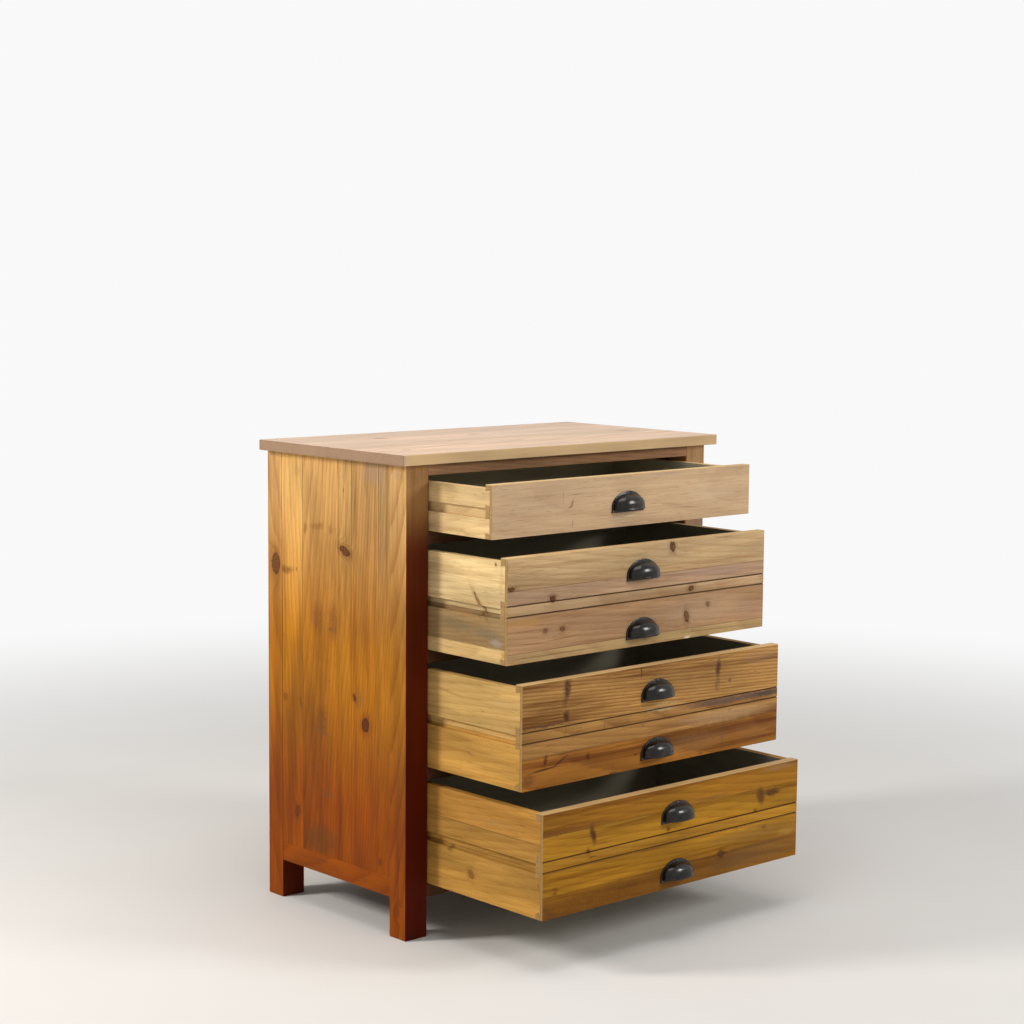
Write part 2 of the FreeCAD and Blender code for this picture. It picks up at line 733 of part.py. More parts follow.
def drawer_back(drawer):
    label = f"{drawer.name}_drawer_back"
    near = drawer_length - s.drawer_back_inset - s.drawer_back_thickness
    low = s.bottom_groove_height + s.bottom_thickness + 3 * s.fit_gap
    body = new_body(label, 0, drawer.face_y + near, drawer.base + low)
    height = drawer.side_height - s.drawer_back_drop - low
    section = Drawing(body, "YZ_Plane").rectangle(0, 0, s.drawer_back_thickness, height)
    reach = s.back_housing_depth - s.fit_gap - s.side_thickness
    pad(body, section, drawer_width + 2 * reach, symmetric=True)
    keep(body, label)


def drawer_bottom(drawer):
    """The bottom board, in the grooves of the front and the sides and under the back."""
    label = f"{drawer.name}_drawer_bottom"
    near = s.front_thickness - s.bottom_groove_depth + s.fit_gap
    low = s.bottom_groove_height + s.fit_gap
    body = new_body(label, 0, drawer.face_y + near, drawer.base + low)
    half = drawer_width / 2 - s.side_thickness + s.bottom_groove_depth - s.fit_gap
    length = drawer_length - near - s.drawer_back_inset
    pad(body, Drawing(body, "XY_Plane").rectangle(-half, 0, half, length), s.bottom_thickness)
    keep(body, label)


def pull_screw_places():
    """Below the hood's two corners and above its crown, from the middle of the lower edge."""
    ear = s.plate_width / 2 - s.ear_hole_inset
    crown = s.hood_foot + s.hood_skirt + s.hood_projection
    return (
        (-ear, s.hood_foot / 2),
        (ear, s.hood_foot / 2),
        (as_size(0), (crown + s.plate_height) / 2),
    )


def hood_ring(half_width, depth, level):
    """Corners of one level of the hood: a bow in front of the plate's rear face."""
    turns = [math.pi * count / HOOD_SIDES for count in range(HOOD_SIDES + 1)]
    return [
        FreeCAD.Vector(half_width * fuller(math.cos(a)), -depth * fuller(math.sin(a)), level)
        for a in turns
    ]


def dome_rings(half_width, depth):
    """The levels of a dome on its skirt, from the spring line to the flat crown."""
    spring = (s.hood_foot + s.hood_skirt).number
    climbs = [HOOD_CROWN_ANGLE * band / HOOD_BANDS for band in range(HOOD_BANDS + 1)]
    return [
        hood_ring(
            half_width * fuller(math.cos(climb)), depth * fuller(math.cos(climb)),
            spring + depth * fuller(math.sin(climb)),
        )
        for climb in climbs
    ]


def flat_sided(label, rings):
    """A solid through rings of corners, one above the other, closed at both ends."""
    outlines = [rings[0], rings[-1]]
    for low, high in zip(rings, rings[1:]):
        for side in range(len(low)):
            after = (side + 1) % len(low)
            outlines.append([low[side], low[after], high[after], high[side]])
    faces = [Part.Face(Part.makePolygon([*corners, corners[0]])) for corners in outlines]
    form = doc.addObject("Part::Feature", label)
    form.Shape = Part.Solid(Part.Shell(faces))
    return form


def pull_plate():
    """The arched plate of a cup pull, with a hole in its crown and in each ear."""
    body = new_body("pull_plate")
    plate = Drawing(body, "XZ_Plane")
    plate.arch(s.plate_width / 2, s.plate_height, s.plate_shoulder_radius, s.plate_straight)
    pad(body, plate, s.plate_thickness)
    holes = Drawing(body, "XZ_Plane", lift=s.plate_thickness)
    for x, up in pull_screw_places():
        holes.flats(x, up, s.pull_screw_radius + s.screw_gap)
    pocket(body, holes, s.plate_thickness)
    return body


def cup_pull():
    """A cup pull: an arched plate and a domed hood that is open below and behind."""
    half, out, foot = (s.hood_width / 2).number, s.hood_projection.number, s.hood_foot.number
    bulge, lip, wall = s.lip_bulge.number, s.lip_height.number, s.hood_wall.number
    skin = [hood_ring(half + bulge, out + bulge, level) for level in (foot, foot + lip)]
    skin += [hood_ring(half, out, foot + lip)] + dome_rings(half, out)
    hollow = [hood_ring(half - wall, out - wall, foot)] + dome_rings(half - wall, out - wall)
    whole = doc.addObject("Part::Fuse", "plate_and_hood")
    whole.Base, whole.Tool = pull_plate(), flat_sided("hood", skin)
    pull = doc.addObject("Part::Cut", "cup_pull")
    pull.Base, pull.Tool = whole, flat_sided("hollow", hollow)
    for step in (whole, pull):
        step.Refine = True
    return pull


def pull_screw():
    """A small screw, whose rounded head looks up and seats at the origin."""
    body = new_body("pull_screw")
    shank = Drawing(body, "XY_Plane").flats(as_size(0), as_size(0), s.pull_screw_radius)
    pad(body, shank, s.pull_screw_length, flip=True)
    head = Drawing(body, "XY_Plane").flats(as_size(0), as_size(0), s.pull_head_radius)
    pad(body, head, s.pull_head_height)
    return body


def all_drawers():
    pull, screw = cup_pull(), pull_screw()
    for drawer in drawers:
        drawer_front(drawer)
        drawer_sides(drawer)
        drawer_back(drawer)
        drawer_bottom(drawer)
        screws = []
        for name, height in drawer.pulls:
            z = drawer.base + height
            here = copy_at(pull, turn(0, 0, 1, 0), 0, drawer.face_y, z)
            group(f"{drawer.name}_drawer_{name}", [here])
            y = drawer.face_y - s.plate_thickness
            for x, up in pull_screw_places():
                screws.append(copy_at(screw, turn(1, 0, 0, 90), x, y, z + up))
        group(f"{drawer.name}_drawer_pull_screws", screws)


def check_document():
    """Stops with the name of an object that failed, or of a cut that took nothing away."""
    doc.recompute()
    for obj in doc.Objects:
        if {"Invalid", "Error"} & set(obj.State):
            raise RuntimeError(f"{obj.Label} failed: {obj.State}")
        if obj.TypeId == "PartDesign::Pocket":
            if obj.Shape.Volume > obj.BaseFeature.Shape.Volume - 1e-3:
                raise RuntimeError(f"{obj.Label} cuts nothing")
    for obj in parts:
        if obj.Shape.isNull() or not obj.Shape.isValid():
            raise RuntimeError(f"{obj.Label} has no valid shape")


top_board()
posts()
front_and_back_rails()
side_rails()
side_panels()
back_boards()
runners()
glue_blocks()
all_drawers()
check_document()

os.makedirs("parts", exist_ok=True)
for part in parts:
    part.Shape.exportStep(f"parts/{part.Label}.step")
print(f"{len(parts)} nodes")
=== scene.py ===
"""Looks of a chest of four drawers in waxed, reclaimed pine with dark cup pulls.

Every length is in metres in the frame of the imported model: X runs along the fronts,
-Y is the front and Z is up. Sizes that read better in millimetres pass through mm().
"""

from __future__ import annotations

import json
import logging
import math
from dataclasses import dataclass, field
from enum import Enum
from typing import Any, Sequence

import bmesh
import bpy
import numpy as np
from mathutils import Matrix, Vector

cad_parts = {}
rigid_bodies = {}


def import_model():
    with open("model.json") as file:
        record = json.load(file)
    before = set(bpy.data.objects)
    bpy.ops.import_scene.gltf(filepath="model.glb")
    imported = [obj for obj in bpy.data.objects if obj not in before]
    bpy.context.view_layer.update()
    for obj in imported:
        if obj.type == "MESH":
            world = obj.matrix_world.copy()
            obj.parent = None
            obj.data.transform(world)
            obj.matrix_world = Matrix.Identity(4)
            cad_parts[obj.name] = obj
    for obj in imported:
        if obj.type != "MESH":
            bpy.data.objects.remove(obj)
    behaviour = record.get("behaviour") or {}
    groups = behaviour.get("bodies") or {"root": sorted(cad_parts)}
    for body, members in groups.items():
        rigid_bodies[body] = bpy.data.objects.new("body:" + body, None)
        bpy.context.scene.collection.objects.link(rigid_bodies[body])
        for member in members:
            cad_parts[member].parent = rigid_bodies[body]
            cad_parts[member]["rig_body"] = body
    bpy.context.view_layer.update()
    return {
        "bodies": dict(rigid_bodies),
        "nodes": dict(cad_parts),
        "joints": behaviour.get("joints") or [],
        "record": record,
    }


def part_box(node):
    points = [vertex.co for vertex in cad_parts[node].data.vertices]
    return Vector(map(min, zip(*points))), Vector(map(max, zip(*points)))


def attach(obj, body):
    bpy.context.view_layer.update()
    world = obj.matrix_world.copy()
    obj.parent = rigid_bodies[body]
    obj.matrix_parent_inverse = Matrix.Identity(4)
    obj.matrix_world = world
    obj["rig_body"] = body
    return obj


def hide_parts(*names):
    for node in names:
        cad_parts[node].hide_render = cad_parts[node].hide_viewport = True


log = logging.getLogger("chest")

Colour = tuple[float, float, float]
Pair = tuple[float, float]


def mm(*values: float) -> Any:
    """Millimetres as metres: one number, or a tuple of them."""
    metres = tuple(value / 1000 for value in values)
    return metres[0] if len(metres) == 1 else metres


def toned(colour: Colour, factor: float) -> Colour:
    """A colour made darker or lighter by a factor."""
    return tuple(part * factor for part in colour)


# Shader building


class Value:
    """A socket that carries numbers; an expression on it adds the Math nodes."""

    def __init__(self, bench: "Bench", socket: Any) -> None:
        """Keeps the socket and the bench that adds nodes."""
        self.bench = bench
        self.socket = socket

    def _with(self, operation: str, *operands: Any) -> "Value":
        """One Math node of that operation on the operands."""
        return self.bench.node("Math", {"operation": operation}, *operands)

    def __add__(self, other: Any) -> "Value":
        """self + other"""
        return self._with("ADD", self, other)

    __radd__ = __add__

    def __sub__(self, other: Any) -> "Value":
        """self - other"""
        return self._with("SUBTRACT", self, other)

    def __rsub__(self, other: Any) -> "Value":
        """other - self"""
        return self._with("SUBTRACT", other, self)

    def __mul__(self, other: Any) -> "Value":
        """self * other"""
        return self._with("MULTIPLY", self, other)

    __rmul__ = __mul__

    def __truediv__(self, other: Any) -> "Value":
        """self / other"""
        return self._with("DIVIDE", self, other)

    def __pow__(self, other: Any) -> "Value":
        """self to the power of other"""
        return self._with("POWER", self, other)

    def larger(self, other: Any) -> "Value":
        """The larger of the two."""
        return self._with("MAXIMUM", self, other)

    def size(self) -> "Value":
        """Without its sign."""
        return self._with("ABSOLUTE", self)

    def fraction(self) -> "Value":
        """The part after the whole number."""
        return self._with("FRACT", self)

    def root(self) -> "Value":
        """The square root."""
        return self._with("SQRT", self)

    def above(self, limit: Any) -> "Value":
        """1 where the number is above the limit, else 0."""
        return self._with("GREATER_THAN", self, limit)

    def fade(self, start: float, end: float, low: float = 0.0, high: float = 1.0) -> "Value":
        """From low at start to high at end, held outside them, with a soft course."""
        settings = {"interpolation_type": "SMOOTHSTEP", "clamp": True}
        return self.bench.node("MapRange", settings, self, start, end, low, high)


class Bench:
    """Builds the nodes of one material."""

    def __init__(self, name: str) -> None:
        """Starts a material with its Principled shader."""
        self.material = bpy.data.materials.new(name)
        self.material.use_nodes = True
        self.tree = self.material.node_tree
        self.shader = self.tree.nodes["Principled BSDF"]
        coordinates = self.tree.nodes.new("ShaderNodeTexCoord")
        self.place = Value(self, coordinates.outputs["Object"])

    def node(self, kind: str, settings: dict[str, Any] | None = None, *inputs: Any,
             out: Any = None, **named: Any) -> Value:
        """Any node of the tree.

        Args:
            kind: the node's type after "ShaderNode".
            settings: its settings, which are made before its sockets are fed.
            inputs: values or links for its first sockets, in order; None leaves one.
            out: name or number of the output that is wanted; the first live one if None.
            named: values or links for sockets by name, with _ for a space.

        Returns:
            The chosen output.
        """
        made = self.tree.nodes.new("ShaderNode" + kind)
        for key, setting in (settings or {}).items():
            if key == "steps":
                self._set_steps(made.color_ramp, setting)
            else:
                setattr(made, key, setting)
        live = [socket for socket in made.inputs if socket.enabled]
        for socket, given in zip(live, inputs):
            self.feed(socket, given)
        for name, given in named.items():
            self.feed(made.inputs[name.replace("_", " ")], given)
        if out is not None:
            return Value(self, made.outputs[out])
        return Value(self, next(socket for socket in made.outputs if socket.enabled))

    @staticmethod
    def _set_steps(ramp: Any, steps: Sequence[tuple[float, Sequence[float]]]) -> None:
        """Gives a ramp colours that change at once, each from its place on."""
        ramp.interpolation = "CONSTANT"
        while len(ramp.elements) < len(steps):
            ramp.elements.new(1.0)
        for element, (position, colour) in zip(ramp.elements, steps):
            element.position = position
            element.color = (*colour, 1.0)[:4]

    def feed(self, socket: Any, given: Any) -> None:
        """Links or sets one socket."""
        if given is None:
            return
        if isinstance(given, Value):
            self.tree.links.new(given.socket, socket)
        elif isinstance(given, (tuple, list)):
            size = len(socket.default_value)
            socket.default_value = (*given, 1.0)[:size] if size == 4 else given[:size]
        else:
            socket.default_value = given

    def parts(self, vector: Value) -> tuple[Value, Value, Value]:
        """The three numbers of a vector."""
        split = self.tree.nodes.new("ShaderNodeSeparateXYZ")
        self.tree.links.new(vector.socket, split.inputs[0])
        return tuple(Value(self, output) for output in split.outputs)

    def vector(self, x: Any, y: Any, z: Any) -> Value:
        """A vector of three numbers."""
        return self.node("CombineXYZ", None, x, y, z)

    def mix(self, share: Any, first: Any, second: Any, blend: str = "MIX") -> Value:
        """A colour between two, or their product."""
        made = self.tree.nodes.new("ShaderNodeMix")
        made.data_type = "RGBA"
        made.blend_type = blend
        self.feed(made.inputs["Factor"], share)
        self.feed(made.inputs[6], first)
        self.feed(made.inputs[7], second)
        return Value(self, made.outputs[2])

    def noise(self, vector: Value, scale: float, detail: float = 2.0, rough: float = 0.5,
              out: str = "Fac") -> Value:
        """Soft noise on a vector."""
        return self.node(
            "TexNoise", {"noise_dimensions": "3D"}, out=out,
            Vector=vector, Scale=scale, Detail=detail, Roughness=rough,
        )

    def shifted(self, vector: Any, shift: Any) -> Value:
        """A vector and another one together."""
        return self.node("VectorMath", {"operation": "ADD"}, vector, shift)

    def shaded(self, colour: Any, factor: Any) -> Value:
        """A colour or vector times one number."""
        return self.node("VectorMath", {"operation": "SCALE"}, colour, Scale=factor)

    def finish(self, **sockets: Any) -> bpy.types.Material:
        """Feeds the shader's sockets by name and gives the material."""
        for name, given in sockets.items():
            self.feed(self.shader.inputs[name.replace("_", " ")], given)
        return self.material


# Finishes


class Grain(Enum):
    """Which way the fibres run: the axis along, the axis across and the third one."""

    ALONG_X = (0, 2, 1)
    ALONG_X_FLAT = (0, 1, 2)
    ALONG_Y = (1, 2, 0)
    ALONG_Z_SIDE = (2, 1, 0)
    ALONG_Z_FRONT = (2, 0, 1)


class Skin(Enum):
    """How a pine surface is finished: roughness, coat, coat roughness."""

    WAXED = (0.46, 0.05, 0.3)
    WORN = (0.54, 0.03, 0.38)
    RAW = (0.72, 0.0, 0.5)


@dataclass(frozen=True)
class Board:
    """One board of a glued face.

    to: where it ends across the grain; tint: its colour times the wood's;
    heart: its heart from its own place, across and in depth; ring: width of a year;
    figure: how strongly the late wood shows; grey: how weathered it is.
    """

    to: float
    tint: Colour = (1.0, 1.0, 1.0)
    heart: Pair = (0.03, 0.05)
    ring: float = 0.0035
    figure: float = 0.5
    grey: float = 0.0


@dataclass(frozen=True)
class Knot:
    """A knot at a place along and across the grain, half sizes, turn in degrees."""

    along: float
    across: float
    length: float
    width: float
    turn: float = 0.0
    dark: float = 0.8
    bend: float = 1.0


@dataclass(frozen=True)
class Mark:
    """A streak, stain, dent or scratch: an ellipse with a ragged edge and a colour."""

    along: float
    across: float
    length: float
    width: float
    turn: float = 0.0
    strength: float = 0.6
    colour: Colour = (0.10, 0.045, 0.02)
    ragged: float = 0.5


@dataclass(frozen=True)
class Ruler:
    """Places boards, knots and marks on a face, in millimetres from a corner of it.

    along, across: the corner, in metres; back_along, back_across: whether the places
    run from the back edge forwards, along the grain or across it.
    """

    along: float
    across: float
    back_along: bool = False
    back_across: bool = False

    def place(self, along: float, across: float) -> Pair:
        """Metres along and across from millimetres off the corner."""
        forth = -1 if self.back_along else 1
        over = -1 if self.back_across else 1
        return self.along + forth * mm(along), self.across + over * mm(across)

    def board(self, to: float, *other: Any) -> Board:
        """A board that ends at that place across the grain."""
        return Board(self.place(0, to)[1], *other)

    def knot(self, along: float, across: float, length: float, width: float,
             *other: Any) -> Knot:
        """A knot: its place and half sizes, then the rest as Knot takes it."""
        return Knot(*self.place(along, across), *mm(length, width), *other)

    def mark(self, along: float, across: float, length: float, width: float,
             *other: Any) -> Mark:
        """A mark: its place and half sizes, then the rest as Mark takes it."""
        return Mark(*self.place(along, across), *mm(length, width), *other)


@dataclass(frozen=True)
class Paint:
    """A painted or stained band of one axis, or a band of painted shade: from low to high, with a
    colour.

    fade: from which height to which one it thins.
    """

    axis: int
    low: float
    high: float
    colour: Colour
    cover: float = 1.0
    fade: Pair | None = None


@dataclass(frozen=True)
class Texture:
    """A soft noise of the wood.

    along, across: how often it changes in a metre along and across the grain;
    detail, rough: its finer parts; shift: how far each board moves it.
    """

    along: float
    across: float
    detail: float
    rough: float
    shift: tuple[float, float, float] = (0.0, 0.0, 0.0)


WAVE = Texture(1.9, 9.0, 1.6, 0.4, (7.0, 13.0, 5.0))
FIBRE = Texture(7.0, 420.0, 3.0, 0.62)
CLOUD = Texture(3.2, 16.0, 3.0, 0.55, (3.0, 9.0, 0.0))
STREAK = Texture(1.4, 58.0, 4.0, 0.62, (11.0, 4.0, 0.0))
FLECK = Texture(34.0, 620.0, 2.0, 0.6)

WEATHERED: Colour = (0.30, 0.27, 0.20)
SEAM: Colour = (0.055, 0.022, 0.008)
KNOT_HALO: Colour = (0.42, 0.28, 0.16)
LAP_LINE: Colour = (0.08, 0.035, 0.01)


@dataclass(frozen=True)
class HeightToneAndShade:
    """Painted light and shade by height, partly the finish's own tone: a tint at a low, a middle
    and a high level.
    """

    low: float
    low_tint: Colour
    middle: float
    middle_tint: Colour
    high: float
    high_tint: Colour


@dataclass(frozen=True)
class Pine:
    """The finish of one pine surface."""

    name: str
    grain: Grain
    light: Colour
    dark: Colour
    boards: tuple[Board, ...]
    knots: tuple[Knot, ...] = ()
    marks: tuple[Mark, ...] = ()
    paints: tuple[Paint, ...] = ()
    skin: Skin = Skin.WAXED
    start: float = 0.0
    wander: float = 0.22
    blotch: float = 0.35
    streaks: float = 0.3
    streak_tint: Colour = (0.52, 0.38, 0.24)
    knot_colour: Colour = (0.070, 0.025, 0.010)
    end_colour: Colour | None = None
    lap: float | None = None
    lap_colour: Colour = (0.36, 0.22, 0.08)
    ageing: HeightToneAndShade | None = None
    seams: float = 0.55
    seed: float = 0.0
    endless: float = 1e5

    def material(self) -> bpy.types.Material:
        """Builds the finish: years as rings round each board's heart, bent by knots.

        Returns:
            The material, on Object coordinates.
        """
        bench = Bench(self.name)
        split = bench.parts(bench.place)
        along, across, deep = (split[axis] for axis in self.grain.value)
        board = self._board_values(bench, across)
        wave = self._noise(bench, WAVE, board)
        fibre = self._noise(bench, FIBRE, board)
        cloud = self._noise(bench, CLOUD, board)
        late = self._years(bench, along, across, deep, board, wave, fibre)
        colour = self._wood(bench, board, late, wave, fibre, cloud)
        # painted light and shade by height, partly the finish's own tone
        if self.ageing is not None:
            colour = self._aged(bench, colour, split[2])
        weathered = board["grey"] * cloud.fade(0.3, 0.7, 0.4, 1.0)
        colour = self._marks(bench, bench.mix(weathered, colour, WEATHERED))
        colour, relief = self._knots(bench, colour, late * -0.35 + fibre * 0.6)
        gap = self._seams(across)
        colour = bench.mix(gap * self.seams, colour, SEAM)
        relief = relief - gap * 1.5
        if self.end_colour is not None:
            colour = self._ends(bench, colour, fibre, split[1])
        colour, painted = self._painted(bench, colour, split, cloud)
        rough, coat, coat_rough = self.skin.value
        wear = cloud.fade(0.2, 0.8, rough - 0.07, rough + 0.09) + late * 0.05
        return bench.finish(
            Base_Color=colour, Roughness=wear + painted * 0.08, Coat_Weight=coat,
            Coat_Roughness=coat_rough, Specular_IOR_Level=0.06,
            Normal=bench.node("Bump", None, Strength=0.35, Distance=0.0006, Height=relief),
        )

    def _noise(self, bench: Bench, texture: Texture, board: dict[str, Value],
               swing: Any = 0.0) -> Value:
        """One noise of the wood, drawn out along the grain and new on each board."""
        scale = [texture.across] * 3
        scale[self.grain.value[0]] = texture.along
        place = bench.shifted(bench.place, (self.seed,) * 3)
        place = bench.node("VectorMath", {"operation": "MULTIPLY"}, place, tuple(scale))
        x, y, z = (board["mark"] * part for part in texture.shift)
        place = bench.shifted(place, bench.vector(x, y, z + swing))
        return bench.noise(place, 1.0, texture.detail, texture.rough)

    def _wood(self, bench: Bench, board: dict[str, Value], late: Value, wave: Value,
              fibre: Value, cloud: Value) -> Value:
        """The bare wood: late wood, board tints, rich streaks, flecks and clouds."""
        colour = bench.mix(late * board["figure"], self.light, self.dark)
        colour = bench.mix(1.0, colour, board["tint"], "MULTIPLY")
        richer = bench.mix(1.0, colour, self.streak_tint, "MULTIPLY")
        streak = self._noise(bench, STREAK, board, wave * 1.2)
        colour = bench.mix(streak.fade(0.47, 0.68) * self.streaks, colour, richer)
        fleck = self._noise(bench, FLECK, board)
        colour = bench.mix(fleck.fade(0.60, 0.70) * 0.45, colour, richer)
        shade = cloud.fade(0.25, 0.75, 1.0 - self.blotch, 1.0 + self.blotch * 0.45)
        return bench.shaded(colour, shade * fibre.fade(0.2, 0.8, 0.86, 1.08))

    def _painted(self, bench: Bench, colour: Value, split: Sequence[Value],
                 cloud: Value) -> tuple[Value, Any]:
        """Adds the painted and stained bands and the bands of painted shade, and gives where they
        are.
        """
        painted: Any = 0.0
        for paint in self.paints:
            axis = split[paint.axis]
            inside = axis.above(paint.low) * (1.0 - axis.above(paint.high)) * paint.cover
            if paint.fade is not None:
                inside = inside * split[2].fade(*paint.fade, 1.0, 0.45)
            # a band's colour, mottled; for a shadow band this is painted shade
            coat = bench.mix(cloud.fade(0.2, 0.8), toned(paint.colour, 0.75),
                             toned(paint.colour, 1.2))
            colour = bench.mix(inside, colour, coat)
            painted = inside.larger(painted)
        return colour, painted

    def _board_values(self, bench: Bench, across: Value) -> dict[str, Value]:
        """What differs from board to board, as steps across the grain.

        A ramp holds no number under 0, so the hearts' places pass through it half a
        metre up, and the years' widths a hundred times as wide.
        """
        ends = [board.to for board in self.boards]
        starts = [self.start, *ends[:-1]]
        low, high = self.start, ends[-1]
        scaled = bench.node("MapRange", {"clamp": True}, across, low, high, 0.0, 1.0)

        def ramp(colours: Sequence[Colour]) -> Value:
            """A ramp that steps at the boards' edges."""
            places = [(start - low) / (high - low) for start in starts]
            steps = list(zip(places, colours))
            return bench.node("ValToRGB", {"steps": steps if len(steps) > 1 else steps * 2},
                              scaled)

        hearts, others = [], []
        for number, (board, start) in enumerate(zip(self.boards, starts)):
            middle = (start + board.to) / 2
            hearts.append((board.heart[0] + middle + 0.5, board.heart[1] + 0.5,
                           board.ring * 100))
            others.append((board.figure, board.grey, (number * 0.37 + 0.13) % 1.0))
        heart, other = bench.parts(ramp(hearts)), bench.parts(ramp(others))
        return {
            "tint": ramp([board.tint for board in self.boards]),
            "across": heart[0] - 0.5, "deep": heart[1] - 0.5, "ring": heart[2] / 100.0,
            "figure": other[0], "grey": other[1], "mark": other[2],
        }

    def _years(self, bench: Bench, along: Value, across: Value, deep: Value,
               board: dict[str, Value], wave: Value, fibre: Value) -> Value:
        """Late wood: the distance from the heart over a year's width, as a saw tooth.

        The heart leans with the tree, the wave bends it, and each knot pushes it aside.
        """
        bent = across - board["across"] + (wave - 0.5) * (0.05 * self.wander)
        bent = bent + along * 0.02
        depth = deep - board["deep"] + (wave - 0.5) * (0.03 * self.wander) + along * 0.03
        radius = (bent * bent + depth * depth).root()
        for knot in self.knots:
            near = self._reach(bench, knot.along, knot.across,
                               knot.length * 3.6, knot.width * 3.0, knot.turn)
            radius = radius + near.fade(1.0, 0.0) * (knot.width * 0.4 * knot.bend)
        step = (radius / board["ring"] + (fibre - 0.5) * 0.28).fraction()
        return (step ** 2.0) * step.fade(0.9, 1.0, 1.0, 0.0)

    def _reach(self, bench: Bench, along: float, across: float, length: float, width: float,
               turn: float, source: Value | None = None) -> Value:
        """Distance from a place in units of an ellipse: 1 on its outline.

        The ellipse goes right through the wood. A positive turn leads from the grain
        towards the axis across it.
        """
        first, second, third = self.grain.value
        place, spread, angle = [0.0] * 3, [1.0] * 3, [0.0] * 3
        place[first], place[second] = along, across
        spread[first], spread[second], spread[third] = length, width, self.endless
        forth = (second - first) % 3 == 1
        angle[third] = math.radians(turn if forth else -turn)
        mapped = bench.node(
            "Mapping", {"vector_type": "TEXTURE"}, Vector=source or bench.place,
            Location=tuple(place), Rotation=tuple(angle), Scale=tuple(spread),
        )
        return bench.node("VectorMath", {"operation": "LENGTH"}, mapped, out="Value")

    def _ragged(self, bench: Bench, amount: float, scale: float) -> Value:
        """Object coordinates pushed about by noise."""
        push = bench.noise(bench.place, scale, 2.0, 0.6, out="Color")
        push = bench.shaded(bench.shifted(push, (-0.5, -0.5, -0.5)), amount)
        return bench.shifted(bench.place, push)

    def _knots(self, bench: Bench, colour: Value, relief: Value) -> tuple[Value, Value]:
        """Adds the knots: a dark rim, rings inside and a stained halo."""
        if not self.knots:
            return colour, relief
        pushed = self._ragged(bench, 0.008, 130.0)
        mottled = bench.noise(bench.place, 300.0, 3.0, 0.65)
        for knot in self.knots:
            reach = self._reach(bench, knot.along, knot.across, knot.length, knot.width,
                                knot.turn, pushed)
            halo = reach.fade(2.6, 0.9) * (0.42 * knot.dark)
            core = reach.fade(1.08, 0.86) * knot.dark
            rim = (1.0 - (reach - 0.95).size().fade(0.0, 0.16)) * knot.dark
            rim = rim * mottled.fade(0.3, 0.6, 0.3, 0.95)
            rings = (reach * 3.1).fraction().fade(0.2, 0.9)
            inside = bench.mix(rings, toned(self.knot_colour, 0.7),
                               toned(self.knot_colour, 1.45))
            stained = bench.mix(1.0, colour, KNOT_HALO, "MULTIPLY")
            inside = bench.mix(mottled.fade(0.35, 0.65), inside, stained)
            colour = bench.mix(core, bench.mix(halo, colour, stained), inside)
            colour = bench.mix(rim, colour, toned(self.knot_colour, 0.45))
            relief = relief - rim * 0.8
        return colour, relief

    def _marks(self, bench: Bench, colour: Value) -> Value:
        """Adds the streaks, stains and dents."""
        if not self.marks:
            return colour
        pushed = self._ragged(bench, 0.010, 60.0)
        grainy = bench.noise(bench.place, 220.0, 2.0, 0.6)
        for mark in self.marks:
            source = pushed if mark.ragged > 0 and mark.width > 0.0026 else None
            reach = self._reach(bench, mark.along, mark.across, mark.length, mark.width,
                                mark.turn, source)
            cover = reach.fade(1.25, 0.35) * mark.strength
            if mark.ragged > 0:
                cover = cover * grainy.fade(0.3, 0.6, 1.0 - mark.ragged, 1.0)
            colour = bench.mix(cover, colour, mark.colour)
        return colour

    def _seams(self, across: Value) -> Any:
        """Fine lines where boards meet: 1 on the joint, 0 past 0.7 millimetres."""
        line: Any = 0.0
        for seam in self.boards[:-1]:
            line = (across - seam.to).size().fade(0.0007, 0.0002).larger(line)
        return line

    def _aged(self, bench: Bench, colour: Value, height: Value) -> Value:
        """The colour times the tint of its height: painted light and shade, paler high up and
        darker low down, partly the finish's own tone.
        """
        falloff = self.ageing
        tint = bench.mix(height.fade(falloff.low, falloff.middle), falloff.low_tint, falloff.middle_tint)
        tint = bench.mix(height.fade(falloff.middle, falloff.high), tint, falloff.high_tint)
        return bench.mix(1.0, colour, tint, "MULTIPLY")

    def _ends(self, bench: Bench, colour: Value, fibre: Value, depth: Value) -> Value:
        """Darker wood where the surface cuts the fibres, by its own normal.

        The lap that hides the joints from the front keeps a paler strip.
        """
        coordinates = bench.tree.nodes.new("ShaderNodeTexCoord")
        normal = bench.parts(Value(bench, coordinates.outputs["Normal"]))
        cut = normal[self.grain.value[0]].size().fade(0.6, 0.9)
        wood: Any = self.end_colour
        if self.lap is not None:
            wood = bench.mix(1.0 - depth.above(self.lap), wood, self.lap_colour)
            line = (depth - self.lap).size().fade(0.0006, 0.0002)
            wood = bench.mix(line * 0.7, wood, LAP_LINE)
        return bench.mix(cut * 0.85, colour, bench.shaded(wood, fibre.fade(0.2, 0.8, 0.7, 1.15)))


@dataclass(frozen=True)
class Bronze:
    """Dark, lacquered cast metal with rubbed edges."""

    name: str
    colour: Colour
    rubbed: Colour
    roughness: float = 0.25
    metallic: float = 0.9
    coat: float = 0.45
    grain: float = 260.0

    def material(self) -> bpy.types.Material:
        """Builds the finish: uneven lacquer and a fine cast skin.

        Returns:
            The material, on Object coordinates.
        """
        bench = Bench(self.name)
        patch = bench.noise(bench.place, self.grain * 0.25, 3.0, 0.6)
        skin = bench.noise(bench.place, self.grain * 4.0, 2.0, 0.5)
        colour = bench.mix(patch.fade(0.42, 0.72), self.colour, self.rubbed)
        rough = patch.fade(0.3, 0.7, self.roughness - 0.07, self.roughness + 0.08)
        bump = bench.node("Bump", None, Strength=0.05, Distance=0.0004, Height=skin + patch * 0.5)
        return bench.finish(
            Base_Color=colour, Metallic=self.metallic, Roughness=rough,
            Coat_Weight=self.coat, Coat_Roughness=0.16, Normal=bump,
        )


# Meshes


